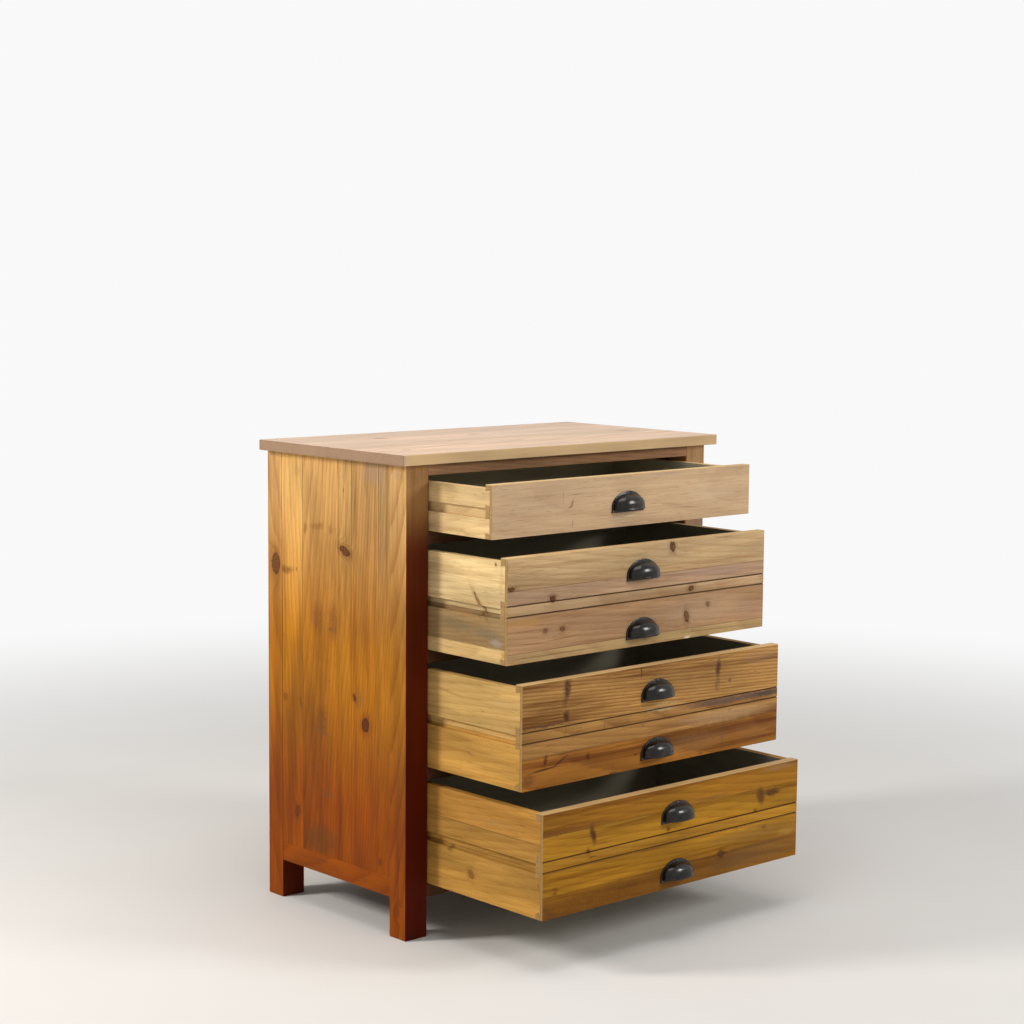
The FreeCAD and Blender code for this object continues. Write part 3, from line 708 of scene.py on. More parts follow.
class Fabric:
    """Turns arrays of points into closed, smooth objects."""

    @staticmethod
    def grid_faces(rows: int, columns: int, wrap: bool = False, offset: int = 0) -> np.ndarray:
        """Quads of a grid of points, row by row, joined round if wrap.

        Args:
            rows: points down.
            columns: points across.
            wrap: whether the last column joins the first.
            offset: number of the grid's first point.

        Returns:
            The faces as an array of four point numbers each.
        """
        down = np.arange(rows - 1)[:, None]
        over = np.arange(columns if wrap else columns - 1)[None, :]
        after = (over + 1) % columns
        corners = (down * columns + over, down * columns + after,
                   (down + 1) * columns + after, (down + 1) * columns + over)
        return np.stack([corner.ravel() for corner in corners], -1) + offset

    @staticmethod
    def solid(name: str, points: np.ndarray, faces: list[Any], smooth: float = 35.0) -> Any:
        """An object from points and faces, cleaned, facing outwards.

        Args:
            name: the object's name.
            points: its points, in the row frame.
            faces: lists or arrays of point numbers.
            smooth: angle in degrees past which an edge stays sharp.

        Returns:
            The object, linked to the scene.
        """
        mesh = bpy.data.meshes.new(name)
        listed = [tuple(int(number) for number in face) for face in faces]
        mesh.from_pydata([tuple(point) for point in points.tolist()], [], listed)
        form = bmesh.new()
        form.from_mesh(mesh)
        bmesh.ops.remove_doubles(form, verts=form.verts, dist=1e-6)
        bmesh.ops.dissolve_degenerate(form, edges=form.edges, dist=1e-7)
        bmesh.ops.recalc_face_normals(form, faces=form.faces)
        sharp = math.radians(smooth)
        for edge in form.edges:
            edge.smooth = len(edge.link_faces) != 2 or edge.calc_face_angle(0.0) < sharp
        for face in form.faces:
            face.smooth = True
        form.to_mesh(mesh)
        form.free()
        made = bpy.data.objects.new(name, mesh)
        bpy.context.scene.collection.objects.link(made)
        return made


@dataclass
class EasedWood:
    """A copy of a wooden CAD node with its doubles merged and its edges eased."""

    node: str
    ease: float = 0.0011
    steps: int = 2

    def build(self, frame: dict[str, Any]) -> Any:
        """Copies the node, merges its triangles to flat faces and bevels the edges.


        Returns:
            The object, which stands for the node.
        """
        source = frame["nodes"][self.node]
        form = bmesh.new()
        form.from_mesh(source.data)
        bmesh.ops.remove_doubles(form, verts=form.verts, dist=2e-6)
        bmesh.ops.dissolve_limit(
            form, angle_limit=math.radians(1.0), verts=form.verts, edges=form.edges)
        mesh = bpy.data.meshes.new(self.node + "_eased")
        form.to_mesh(mesh)
        form.free()
        made = bpy.data.objects.new(self.node + "_eased", mesh)
        bpy.context.scene.collection.objects.link(made)
        bevel = made.modifiers.new("eased_edges", "BEVEL")
        bevel.width = self.ease
        bevel.segments = self.steps
        bevel.limit_method = "ANGLE"
        bevel.angle_limit = math.radians(40)
        bevel.harden_normals = True
        bevel.use_clamp_overlap = True
        for polygon in mesh.polygons:
            polygon.use_smooth = True
        mesh.set_sharp_from_angle(angle=math.radians(30))
        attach(made, source["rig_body"])
        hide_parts(self.node)
        return made


@dataclass
class CupPull:
    """A cast cup pull: an arched plate, a domed hood and its rolled lip."""

    width: float = mm(83)
    height: float = mm(39.5)
    straight: float = mm(10)
    shoulder: float = mm(22)
    thickness: float = mm(1.8)
    hood_half: float = mm(37.4)
    projection: float = mm(23)
    foot: float = mm(5)
    skirt: float = mm(5.5)
    wall: float = mm(1.7)
    lip: float = mm(0.7)
    lip_turn: float = 0.35
    tucked: int = 3
    softened: float = mm(0.6)
    fullness: float = 0.82
    columns: int = 72
    rows: int = 22

    def full(self, value: np.ndarray) -> np.ndarray:
        """A fuller circle: the sine or cosine with its size to a power under one."""
        return np.sign(value) * np.abs(value) ** self.fullness

    def hood_skin(self, inset: float) -> np.ndarray:
        """The hood's skin, row by row upwards.

        Each row is a bow from side to side: x is the half width times the full cosine,
        the depth the projection times the full sine. The rows stand upright on the
        skirt, and above it both shrink with the full cosine of the climb.
        """
        half, out = self.hood_half - inset, self.projection - inset
        turn = np.linspace(0.0, math.pi, self.columns + 1)[None, :]
        climb = np.linspace(0.0, math.pi / 2, self.rows)[:, None]
        shrink = self.full(np.cos(climb))
        x = half * shrink * self.full(np.cos(turn))
        y = -out * shrink * self.full(np.sin(turn))
        z = self.foot + self.skirt + out * self.full(np.sin(climb)) + 0.0 * turn
        dome = np.stack([x, y, z], -1)
        skirt_levels = np.linspace(self.foot, self.foot + self.skirt, 5)[:-1]
        skirt = np.repeat(dome[:1], len(skirt_levels), 0)
        skirt[:, :, 2] = skirt_levels[:, None]
        return np.concatenate([skirt, dome])

    def hood(self) -> tuple[np.ndarray, list[Any]]:
        """The hood as one closed wall: outer skin, rolled lip, inner skin, rear rims.

        The lip is a little over half a circle, from the outer skin to the inner one
        along the foot; the skins leave out their lowest rows, which it covers.
        """
        outer, inner = self.hood_skin(0.0), self.hood_skin(self.wall)
        first_out, first_in = outer[0], inner[0]
        middle = (first_out + first_in) / 2
        across = (first_out - first_in) / 2
        size = self.wall / 2 + self.lip
        bulged = across * (size / np.maximum(np.linalg.norm(across, axis=-1, keepdims=True), 1e-9))
        angles = np.linspace(-self.lip_turn, math.pi + self.lip_turn, 12)[:, None, None]
        drop = np.array([0.0, 0.0, 1.0]) * size
        roll = middle[None] + bulged[None] * np.cos(angles) - drop * np.sin(angles)
        roll[:, :, 2] += size
        roll[:, :, 1] = np.minimum(roll[:, :, 1], 0.0)
        rows = np.concatenate([outer[::-1][:-self.tucked], roll, inner[self.tucked:]])
        shape = rows.shape
        faces = list(Fabric.grid_faces(shape[0], shape[1]))
        points = rows.reshape(-1, 3)
        count = shape[1]
        left = [row * count for row in range(shape[0])]
        right = [row * count + count - 1 for row in range(shape[0])]
        for edge in (left, right):
            half = len(edge) // 2
            pairs = list(zip(edge[:half], edge[::-1][:half]))
            faces += [(a, b, c, d) for (a, d), (b, c) in zip(pairs, pairs[1:])]
        return points, faces

    def outline(self, inset: float, steps: int = 16) -> np.ndarray:
        """The plate's outline: straight sides, tight shoulders and a wide crown.

        Each shoulder arc meets the side upright and the crown arc tangent to it. The
        crown's centre lies on the middle line, and its circle holds the shoulders'
        circles inside, so their centres are the difference of their radii apart.
        """
        half = self.width / 2
        side, top, tight = self.straight, self.height, self.shoulder
        gap_x = half - tight
        rise = top - side
        wide = (gap_x ** 2 + rise ** 2 - tight ** 2) / (2 * (rise - tight))
        centre_z = top - wide
        lean = math.atan2(gap_x, side - centre_z)
        turn = np.linspace(0.0, math.pi / 2 - lean, steps)
        shoulder = np.stack([gap_x + (tight - inset) * np.cos(turn),
                             side + (tight - inset) * np.sin(turn)], -1)
        sweep = np.linspace(lean, -lean, steps * 2)[1:-1]
        crown = np.stack([(wide - inset) * np.sin(sweep),
                          centre_z + (wide - inset) * np.cos(sweep)], -1)
        base = np.array([[-half + inset, inset], [half - inset, inset]])
        mirrored = shoulder[::-1] * np.array([-1.0, 1.0])
        return np.concatenate([base, shoulder, crown, mirrored])

    def plate(self) -> tuple[np.ndarray, list[Any]]:
        """The plate: its outline carried forwards, with a softened front edge."""
        thick, soft = self.thickness, self.softened
        levels = [(0.0, 0.0), (0.0, soft - thick), (soft * 0.3, soft * 0.3 - thick),
                  (soft, -thick)]
        rings = []
        for inset, y in levels:
            flat = self.outline(inset)
            rings.append(np.stack([flat[:, 0], np.full(len(flat), y), flat[:, 1]], -1))
        count = len(rings[0])
        points = np.concatenate(rings)
        faces = list(Fabric.grid_faces(len(rings), count, wrap=True))
        faces += [tuple(range(count)), tuple(range(len(points) - count, len(points)))]
        return points, faces

    def build(self, name: str, centre_x: float, face_y: float, bottom_z: float) -> Any:
        """Makes the pull on a drawer's face.

        Args:
            name: the object's name.
            centre_x: middle of the pull.
            face_y: the drawer's face.
            bottom_z: the plate's lower edge.

        Returns:
            The object.
        """
        hood_points, hood_faces = self.hood()
        plate_points, plate_faces = self.plate()
        offset = len(hood_points)
        points = np.concatenate([hood_points, plate_points])
        points = points + np.array([centre_x, face_y, bottom_z])
        faces = hood_faces + [tuple(int(n) + offset for n in face) for face in plate_faces]
        return Fabric.solid(name, points, faces, 40.0)


@dataclass
class PullScrew:
    """A small round-head screw: a domed head with a slot, and its shank."""

    head: float = mm(2.1)
    rise: float = mm(1.3)
    rim: float = mm(0.35)
    shank: float = mm(1.1)
    length: float = mm(12)
    taper: float = mm(2)
    axis: float = mm(0.02)
    slot: float = mm(0.45)
    slot_start: float = mm(0.6)
    sides: int = 20

    def points(self, turn: float) -> tuple[np.ndarray, list[Any]]:
        """The screw along -Y with its head seated at the origin.

        A profile carried round: the tip, the shank, the head's rim and its dome. The
        dome falls by the slot's depth where the slot, as wide as deep, crosses it.
        """
        dome = np.linspace(0.0, math.pi / 2, 6)[:-1]
        radii = np.concatenate([[self.axis, self.shank, self.shank, self.head],
                                self.head * np.cos(dome), [self.axis]])
        out = np.concatenate([[-self.length, self.taper - self.length, 0.0, 0.0],
                              self.rim + (self.rise - self.rim) * np.sin(dome), [self.rise]])
        angle = np.linspace(0.0, 2 * math.pi, self.sides, endpoint=False)[None, :]
        x = radii[:, None] * np.cos(angle)
        z = radii[:, None] * np.sin(angle)
        y = -(out[:, None] + 0.0 * angle)
        across = np.abs(x * math.sin(turn) - z * math.cos(turn))
        slot = np.clip(1.0 - across / self.slot, 0.0, 1.0) * (out[:, None] > self.slot_start)
        y = y + slot * self.slot
        rows = np.stack([x, y, z], -1)
        return rows.reshape(-1, 3), list(Fabric.grid_faces(len(radii), self.sides, wrap=True))

    def build(self, name: str, seats: Sequence[tuple[float, float, float]]) -> Any:
        """All the screws of one drawer as one object.

        Args:
            name: the object's name.
            seats: where each head seats.

        Returns:
            The object.
        """
        points, faces, offset = [], [], 0
        for number, seat in enumerate(seats):
            own, quads = self.points(0.5 + number * 1.1)
            points.append(own + np.array(seat))
            faces += [tuple(int(n) + offset for n in quad) for quad in quads]
            offset += len(own)
        return Fabric.solid(name, np.concatenate(points), faces, 50.0)


# The chest


HONEY: Colour = (0.50, 0.245, 0.060)
HONEY_DARK: Colour = (0.29, 0.105, 0.014)
# Painted light and shade by height: paler and bluer high up, darker and more saturated low down,
# partly the finish's own tone
HONEY_TONE_AND_SHADE = HeightToneAndShade(
    low=0.19, low_tint=(0.58, 0.27, 0.0),
    middle=0.50, middle_tint=(0.87, 0.70, 0.14),
    high=0.88, high_tint=(1.30, 1.60, 2.60),
)
RAW: Colour = (0.74, 0.52, 0.25)
RAW_DARK: Colour = (0.52, 0.30, 0.105)
LINING: Colour = (0.36, 0.335, 0.25)
HIDDEN: Colour = (0.58, 0.38, 0.19)
HIDDEN_DARK: Colour = (0.40, 0.23, 0.10)
# Painted shadow: the dark red of the left posts' front faces in the shade of the drawers and of
# the chest; the posts' own colour is the brown stained wood below
RED_SHADOW: Colour = (0.080, 0.005, 0.001)
BROWN_STAIN: Colour = (0.25, 0.145, 0.09)

# Past every face of the chest, for bands that have no end
FAR = 2.0


@dataclass
class Carcass:
    """The frame that doesn't move: top, posts, panels, rails, back and runners."""

    front: float = field(default_factory=lambda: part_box("front_left_post")[0].y)
    back: float = field(default_factory=lambda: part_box("rear_left_post")[1].y)
    top_front: float = field(default_factory=lambda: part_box("top_board")[0].y)
    post_depth: float = mm(46)
    stain_depth: float = mm(0.35)
    eased: tuple[str, ...] = (
        "top_board", "front_left_post", "front_right_post", "rear_left_post",
        "rear_right_post", "left_side_rail", "right_side_rail", "front_top_rail",
        "upper_divider_rail", "middle_divider_rail", "lower_divider_rail",
        "front_bottom_rail",
    )

    def side_panel(self) -> Pine:
        """The upright planks of the sides, with the knots the left one shows."""
        spot = Ruler(0.0, self.back, back_across=True)
        knots = (
            spot.knot(706, 243, 8, 16, -22, 0.95),
            spot.knot(386, 306, 13, 11, 0, 1.0),
            spot.knot(182, 94, 12, 8, -20, 0.6),
            spot.knot(432, 273, 7, 4, 25, 0.9, 0.4),
            spot.knot(135, 350, 6, 5, 0, 0.45, 0.6),
            spot.knot(398, 104, 8, 3, 5, 0.4, 0.5),
            spot.knot(402, 55, 7, 8, 0, 0.3, 0.6),
        )
        dark = (0.15, 0.062, 0.02)
        marks = (
            spot.mark(652, 60, 9, 24, 0, 0.75, (0.13, 0.045, 0.012)),
            spot.mark(655, 92, 5, 3, 0, 0.7, dark, 0.2),
            spot.mark(738, 120, 12, 7, 0, 0.65, (0.19, 0.07, 0.012)),
            spot.mark(745, 158, 8, 26, 8, 0.6, (0.21, 0.085, 0.015)),
            spot.mark(742, 200, 10, 8, 0, 0.55, (0.21, 0.085, 0.015)),
            spot.mark(570, 160, 34, 20, 0, 0.6, (0.15, 0.055, 0.01)),
            spot.mark(566, 208, 42, 16, 0, 0.6, (0.13, 0.045, 0.012)),
            spot.mark(552, 205, 5, 18, 0, 0.6, dark),
            spot.mark(372, 172, 34, 20, 0, 0.6, (0.11, 0.04, 0.008)),
            spot.mark(351, 176, 5, 26, -12, 0.6, dark),
            spot.mark(232, 188, 9, 36, 0, 0.35, dark),
            spot.mark(432, 285, 26, 14, 0, 0.5, (0.16, 0.08, 0.015)),
            spot.mark(140, 172, 34, 62, 0, 0.6, (0.10, 0.04, 0.008), 0.3),
            spot.mark(860, 330, 26, 40, 0, 0.4, (0.27, 0.20, 0.16), 0.3),
            spot.mark(280, 312, 18, 5, 0, 0.4, dark),
            spot.mark(845, 95, 12, 10, 0, 0.3, (0.22, 0.11, 0.05)),
            spot.mark(820, 240, 5, 2, 0, 0.7, dark, 0.0),
            spot.mark(453, 195, 3, 3, 0, 0.6, dark, 0.0),
        )
        boards = (
            spot.board(379, (1.0, 1.0, 1.0)),
            spot.board(344, (0.98, 0.97, 0.95), (0.16, 0.03), 0.003, 0.4),
            spot.board(264, (0.93, 0.87, 0.76), (0.19, 0.012), 0.0035, 0.5),
            spot.board(226, (0.97, 0.95, 0.82), (0.13, 0.09), 0.003, 0.4),
            spot.board(112, (0.95, 0.89, 0.75), (0.12, 0.02), 0.004, 0.5),
            spot.board(46, (1.04, 1.02, 0.84), (-0.12, 0.04), 0.0035, 0.45),
            spot.board(-10, (1.0, 1.0, 1.0)),
        )
        return Pine("honey_panel", Grain.ALONG_Z_SIDE, HONEY, HONEY_DARK, boards, knots,
                    marks, start=self.front - mm(10), seams=0.8, blotch=0.38,
                    streaks=0.5, ageing=HONEY_TONE_AND_SHADE)

    def posts(self, name: str, stain_and_shadow: Colour) -> Pine:
        """A post: honey on the sides, with bands on the front faces that thin from 0.71 to 0.83 m
        up.

        On the left posts the bands are painted shadow in dark red, their thinner top painted light
        above the drawers' shadow; on the right ones they are brown stained wood, with painted
        shade under the chest on the rear post.
        """
        spot = Ruler(0.0, self.back, back_across=True)
        knots = (
            spot.knot(660, 26, 21, 13, 0, 0.85),
            spot.knot(50, 400, 9, 7, 0, 0.3),
        )
        marks = (
            spot.mark(300, 404, 120, 5, 0, 0.35, (0.12, 0.05, 0.015), 0.3),
            spot.mark(130, 403, 110, 3, 0, 0.5, (0.09, 0.03, 0.01), 0.3),
            spot.mark(600, 410, 200, 4, 0, 0.25, (0.25, 0.17, 0.06), 0.3),
            spot.mark(862, 400, 10, 12, 0, 0.35, (0.28, 0.22, 0.16), 0.2),
        )
        boards = (
            spot.board(379, (0.96, 0.95, 0.92), (0.05, 0.02), 0.0032, 0.7),
            spot.board(0, (0.96, 0.90, 0.82), (0.12, 0.05), 0.004, 0.5),
        )
        lit_above_shadow = (0.71, 0.83)
        rear, deep = self.back - self.post_depth, self.stain_depth
        # Front faces of the front and rear post: painted shadow on the left posts, brown stained
        # wood on the right ones with painted shade on their rear post; thinner high up, painted
        # light above the drawers' shadow
        stain_and_shadow_bands = (
            Paint(1, -FAR, self.front + deep, stain_and_shadow, 0.94, lit_above_shadow),
            Paint(1, rear - deep, rear + deep, stain_and_shadow, 0.85, lit_above_shadow),
        )
        return Pine(name, Grain.ALONG_Z_SIDE, HONEY, HONEY_DARK, boards, knots,
                    marks, stain_and_shadow_bands, start=self.front, seams=0.0, blotch=0.28, seed=3.1,
                    ageing=HONEY_TONE_AND_SHADE)

    def side_rails(self) -> Pine:
        """The low rails under the sides."""
        spot = Ruler(self.back, 0.0, back_along=True)
        marks = (
            spot.mark(170, 98, 22, 4, 0, 0.6, (0.14, 0.05, 0.015)),
            spot.mark(302, 90, 10, 6, 0, 0.5, (0.14, 0.05, 0.015)),
        )
        boards = (spot.board(112.5, (1.0, 0.95, 0.85), (0.03, 0.02), 0.004, 0.55),)
        return Pine("honey_rail_side", Grain.ALONG_Y, HONEY, HONEY_DARK, boards,
                    marks=marks, start=mm(74), seed=5.7, ageing=HONEY_TONE_AND_SHADE)

    def rails(self) -> Pine:
        """The front rails: the dividers and the bottom rail below 800 mm, darkened with painted
        shadow of the drawers, and the front top rail above it in its own brown.
        """
        boards = (
            # Painted shadow: the dark tint of the dividers and the bottom rail, which sit in the
            # drawers' shade
            Board(mm(800), (0.26, 0.20, 0.17), (0.02, 0.03), 0.004, 0.6),
            Board(mm(900), (0.82, 0.78, 0.82), (0.04, 0.02), 0.003, 0.5),
        )
        return Pine("rail_front", Grain.ALONG_X, (0.42, 0.235, 0.11), (0.25, 0.11, 0.04),
                    boards, start=mm(70), seams=0.0, seed=8.3)

    def top(self) -> Pine:
        """The top: pale, rubbed boards along X with end grain at the sides; their paleness is
        partly painted light and sheen from above.
        """
        spot = Ruler(0.0, self.top_front)
        boards = (
            spot.board(62, (0.97, 0.98, 1.02), (0.13, 0.05), 0.0035, 0.5),
            spot.board(150, (1.0, 0.99, 1.02), (0.09, 0.02), 0.0045, 0.45),
            spot.board(232, (0.93, 0.94, 0.98), (0.15, 0.02), 0.004, 0.55),
            spot.board(330, (1.0, 1.01, 1.08), (-0.12, 0.03), 0.004, 0.45),
            spot.board(443, (0.92, 0.93, 0.98), (0.11, 0.015), 0.0045, 0.55),
        )
        knots = (
            spot.knot(-205, 325, 14, 9, 0, 0.5),
            spot.knot(15, 300, 11, 8, 0, 0.45),
            spot.knot(330, 190, 12, 9, 0, 0.35),
            spot.knot(-330, 90, 8, 6, 0, 0.3),
        )
        edge = Paint(1, -FAR, self.top_front + mm(0.3), (0.56, 0.375, 0.17), 0.75)
        # pale colours partly painted light and sheen from above
        return Pine("pale_top", Grain.ALONG_X_FLAT, (0.66, 0.47, 0.32), (0.50, 0.32, 0.19),
                    boards, knots, paints=(edge,), start=self.top_front, seams=0.3,
                    blotch=0.16, knot_colour=(0.26, 0.13, 0.07),
                    end_colour=(0.27, 0.165, 0.095), seed=1.7)

    def raw(self, name: str, grain: Grain, tint: Colour = (1.0, 1.0, 1.0)) -> Pine:
        """Plain raw pine for what doesn't show."""
        upright = grain is Grain.ALONG_Z_FRONT
        edges = mm(-340, -228, -115, 0, 115, 228, 360) if upright else mm(200, 500, 1000)
        boards = tuple(
            Board(edge, toned(tint, 1.0 - 0.07 * (number % 3)),
                  (0.09 + 0.02 * (number % 4), 0.06), 0.004, 0.4)
            for number, edge in enumerate(edges)
        )
        return Pine(name, grain, (0.60, 0.40, 0.20), (0.42, 0.24, 0.10), boards,
                    start=mm(-360) if upright else mm(-500), skin=Skin.RAW, seams=0.0,
                    seed=float(len(name)))

    def dress(self, frame: dict[str, Any]) -> None:
        """Gives every carcass node its finish, and eased copies to what shows.
        """
        panel = self.side_panel().material()
        # the left posts' front faces carry painted shadow in dark red
        left_post = self.posts("honey_left_post", RED_SHADOW).material()
        right_post = self.posts("honey_right_post", BROWN_STAIN).material()
        side_rail, rail, top = (pine.material() for pine in (
            self.side_rails(), self.rails(), self.top()))
        planks = self.raw("raw_back", Grain.ALONG_Z_FRONT).material()
        ties = self.raw("raw_tie", Grain.ALONG_X).material()
        runner = self.raw("raw_runner", Grain.ALONG_Y, (0.95, 0.85, 0.7)).material()
        # The first ending or name that fits a node gives its finish; the slot name beside it is
        # not used
        finishes = (
            ("top_board", top, "top_wood"), ("glue_blocks", ties, "back_wood"),
            ("back_boards", planks, "back_wood"), ("back_top_rail", ties, "back_wood"),
            ("back_bottom_rail", ties, "back_wood"), ("_runner", runner, "runner_wood"),
            ("left_post", left_post, "carcass_wood"), ("right_post", right_post, "carcass_wood"),
            ("_panel", panel, "carcass_wood"), ("side_rail", side_rail, "carcass_wood"),
            ("_rail", rail, "carcass_wood"),
        )
        names = frame["record"]["behaviour"]["bodies"]["carcass"]
        for name in names:
            material, slot = next(
                (finish, kind) for ending, finish, kind in finishes if name.endswith(ending))
            piece = frame["nodes"][name]
            if name in self.eased:
                ease = mm(1.4) if name == "top_board" else mm(1.0)
                piece = EasedWood(name, ease).build(frame)
            paint_piece(piece, material)
        log.info("carcass: %d nodes", len(names))


def paint_piece(piece: Any, material: bpy.types.Material) -> None:
    """Makes the material the only one of a piece."""
    piece.data.materials.clear()
    piece.data.materials.append(material)
    for slot in piece.material_slots:
        slot.material = material


@dataclass(frozen=True)
class Place:
    """Where a drawer's front is at rest, from its CAD node."""

    name: str
    left: float
    face: float
    base: float
    top: float

    @classmethod
    def of(cls, name: str) -> "Place":
        """The place of that drawer's front."""
        low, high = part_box(f"{name}_drawer_front")
        return cls(name, low.x, low.y, low.z, high.z)

    def front(self) -> Ruler:
        """Millimetres from the front's lower left corner."""
        return Ruler(self.left, self.base)

    def side(self) -> Ruler:
        """Millimetres from the face backwards and from the lower edge up."""
        return Ruler(self.face, self.base)


def lined(axis: int, low: float, high: float) -> Paint:
    """The dark lining of a drawer over one band."""
    return Paint(axis, low, high, LINING, 0.96)


@dataclass
class Drawer:
    """One drawer: front, sides, back, bottom, pulls and their screws."""

    place: Place
    front: Pine
    left: Pine
    right: Pine
    pulls: dict[str, float]
    lining_inset: float = mm(0.4)
    bottom_level: float = mm(12)
    ear_inset: float = mm(3.4)

    def lining(self) -> tuple[Pine, Pine]:
        """The dark inside of the back and of the bottom."""
        name = self.place.name
        boards = (Board(mm(1200)),)
        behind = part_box(f"{name}_drawer_back")[0].y + self.lining_inset
        over = self.place.base + self.bottom_level
        back = Pine(f"{name}_lined_back", Grain.ALONG_X, HIDDEN, HIDDEN_DARK, boards,
                    paints=(lined(1, -FAR, behind),), skin=Skin.RAW, start=mm(-200), seed=4.0)
        bottom = Pine(f"{name}_lined_bottom", Grain.ALONG_X_FLAT, HIDDEN, HIDDEN_DARK, boards,
                      paints=(lined(2, over, FAR),), skin=Skin.RAW, start=mm(-600), seed=6.0)
        return back, bottom

    def screw_seats(self, bottom: float) -> list[tuple[float, float, float]]:
        """Where the three screws of a pull seat, from the plate's lower edge."""
        pull = CupPull()
        ear = pull.width / 2 - self.ear_inset
        crown = (pull.foot + pull.skirt + pull.projection + pull.height) / 2
        y = self.place.face - pull.thickness
        return [(-ear, y, bottom + pull.foot / 2), (ear, y, bottom + pull.foot / 2),
                (0.0, y, bottom + crown)]

    def build(self, frame: dict[str, Any], bronze: Any, steel: Any) -> None:
        """Dresses the drawer's nodes and makes its pulls.

        Args:
            bronze: material of the pulls.
            steel: material of the screws.
        """
        name = self.place.name
        body = f"{name}_drawer"
        eased = (("front", self.front, mm(0.9), f"{name}_front_wood"),
                 ("left_side", self.left, mm(0.5), "drawer_side_wood"),
                 ("right_side", self.right, mm(0.5), "drawer_side_wood"))
        for part, pine, ease, slot in eased:
            piece = EasedWood(f"{body}_{part}", ease).build(frame)
            paint_piece(piece, pine.material())
        back, bottom = self.lining()
        for part, pine in (("back", back), ("bottom", bottom)):
            piece = frame["nodes"][f"{body}_{part}"]
            paint_piece(piece, pine.material())
        seats: list[tuple[float, float, float]] = []
        for label, up in self.pulls.items():
            node = f"{body}_{label}"
            level = self.place.base + up
            pull = CupPull().build(node + "_cast", 0.0, self.place.face, level)
            paint_piece(pull, bronze)
            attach(pull, body)
            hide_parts(node)
            seats += self.screw_seats(level)
        screws = PullScrew().build(f"{body}_screws_turned", seats)
        paint_piece(screws, steel)
        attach(screws, body)
        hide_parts(f"{body}_pull_screws")
        log.info("%s: %d pulls", body, len(self.pulls))


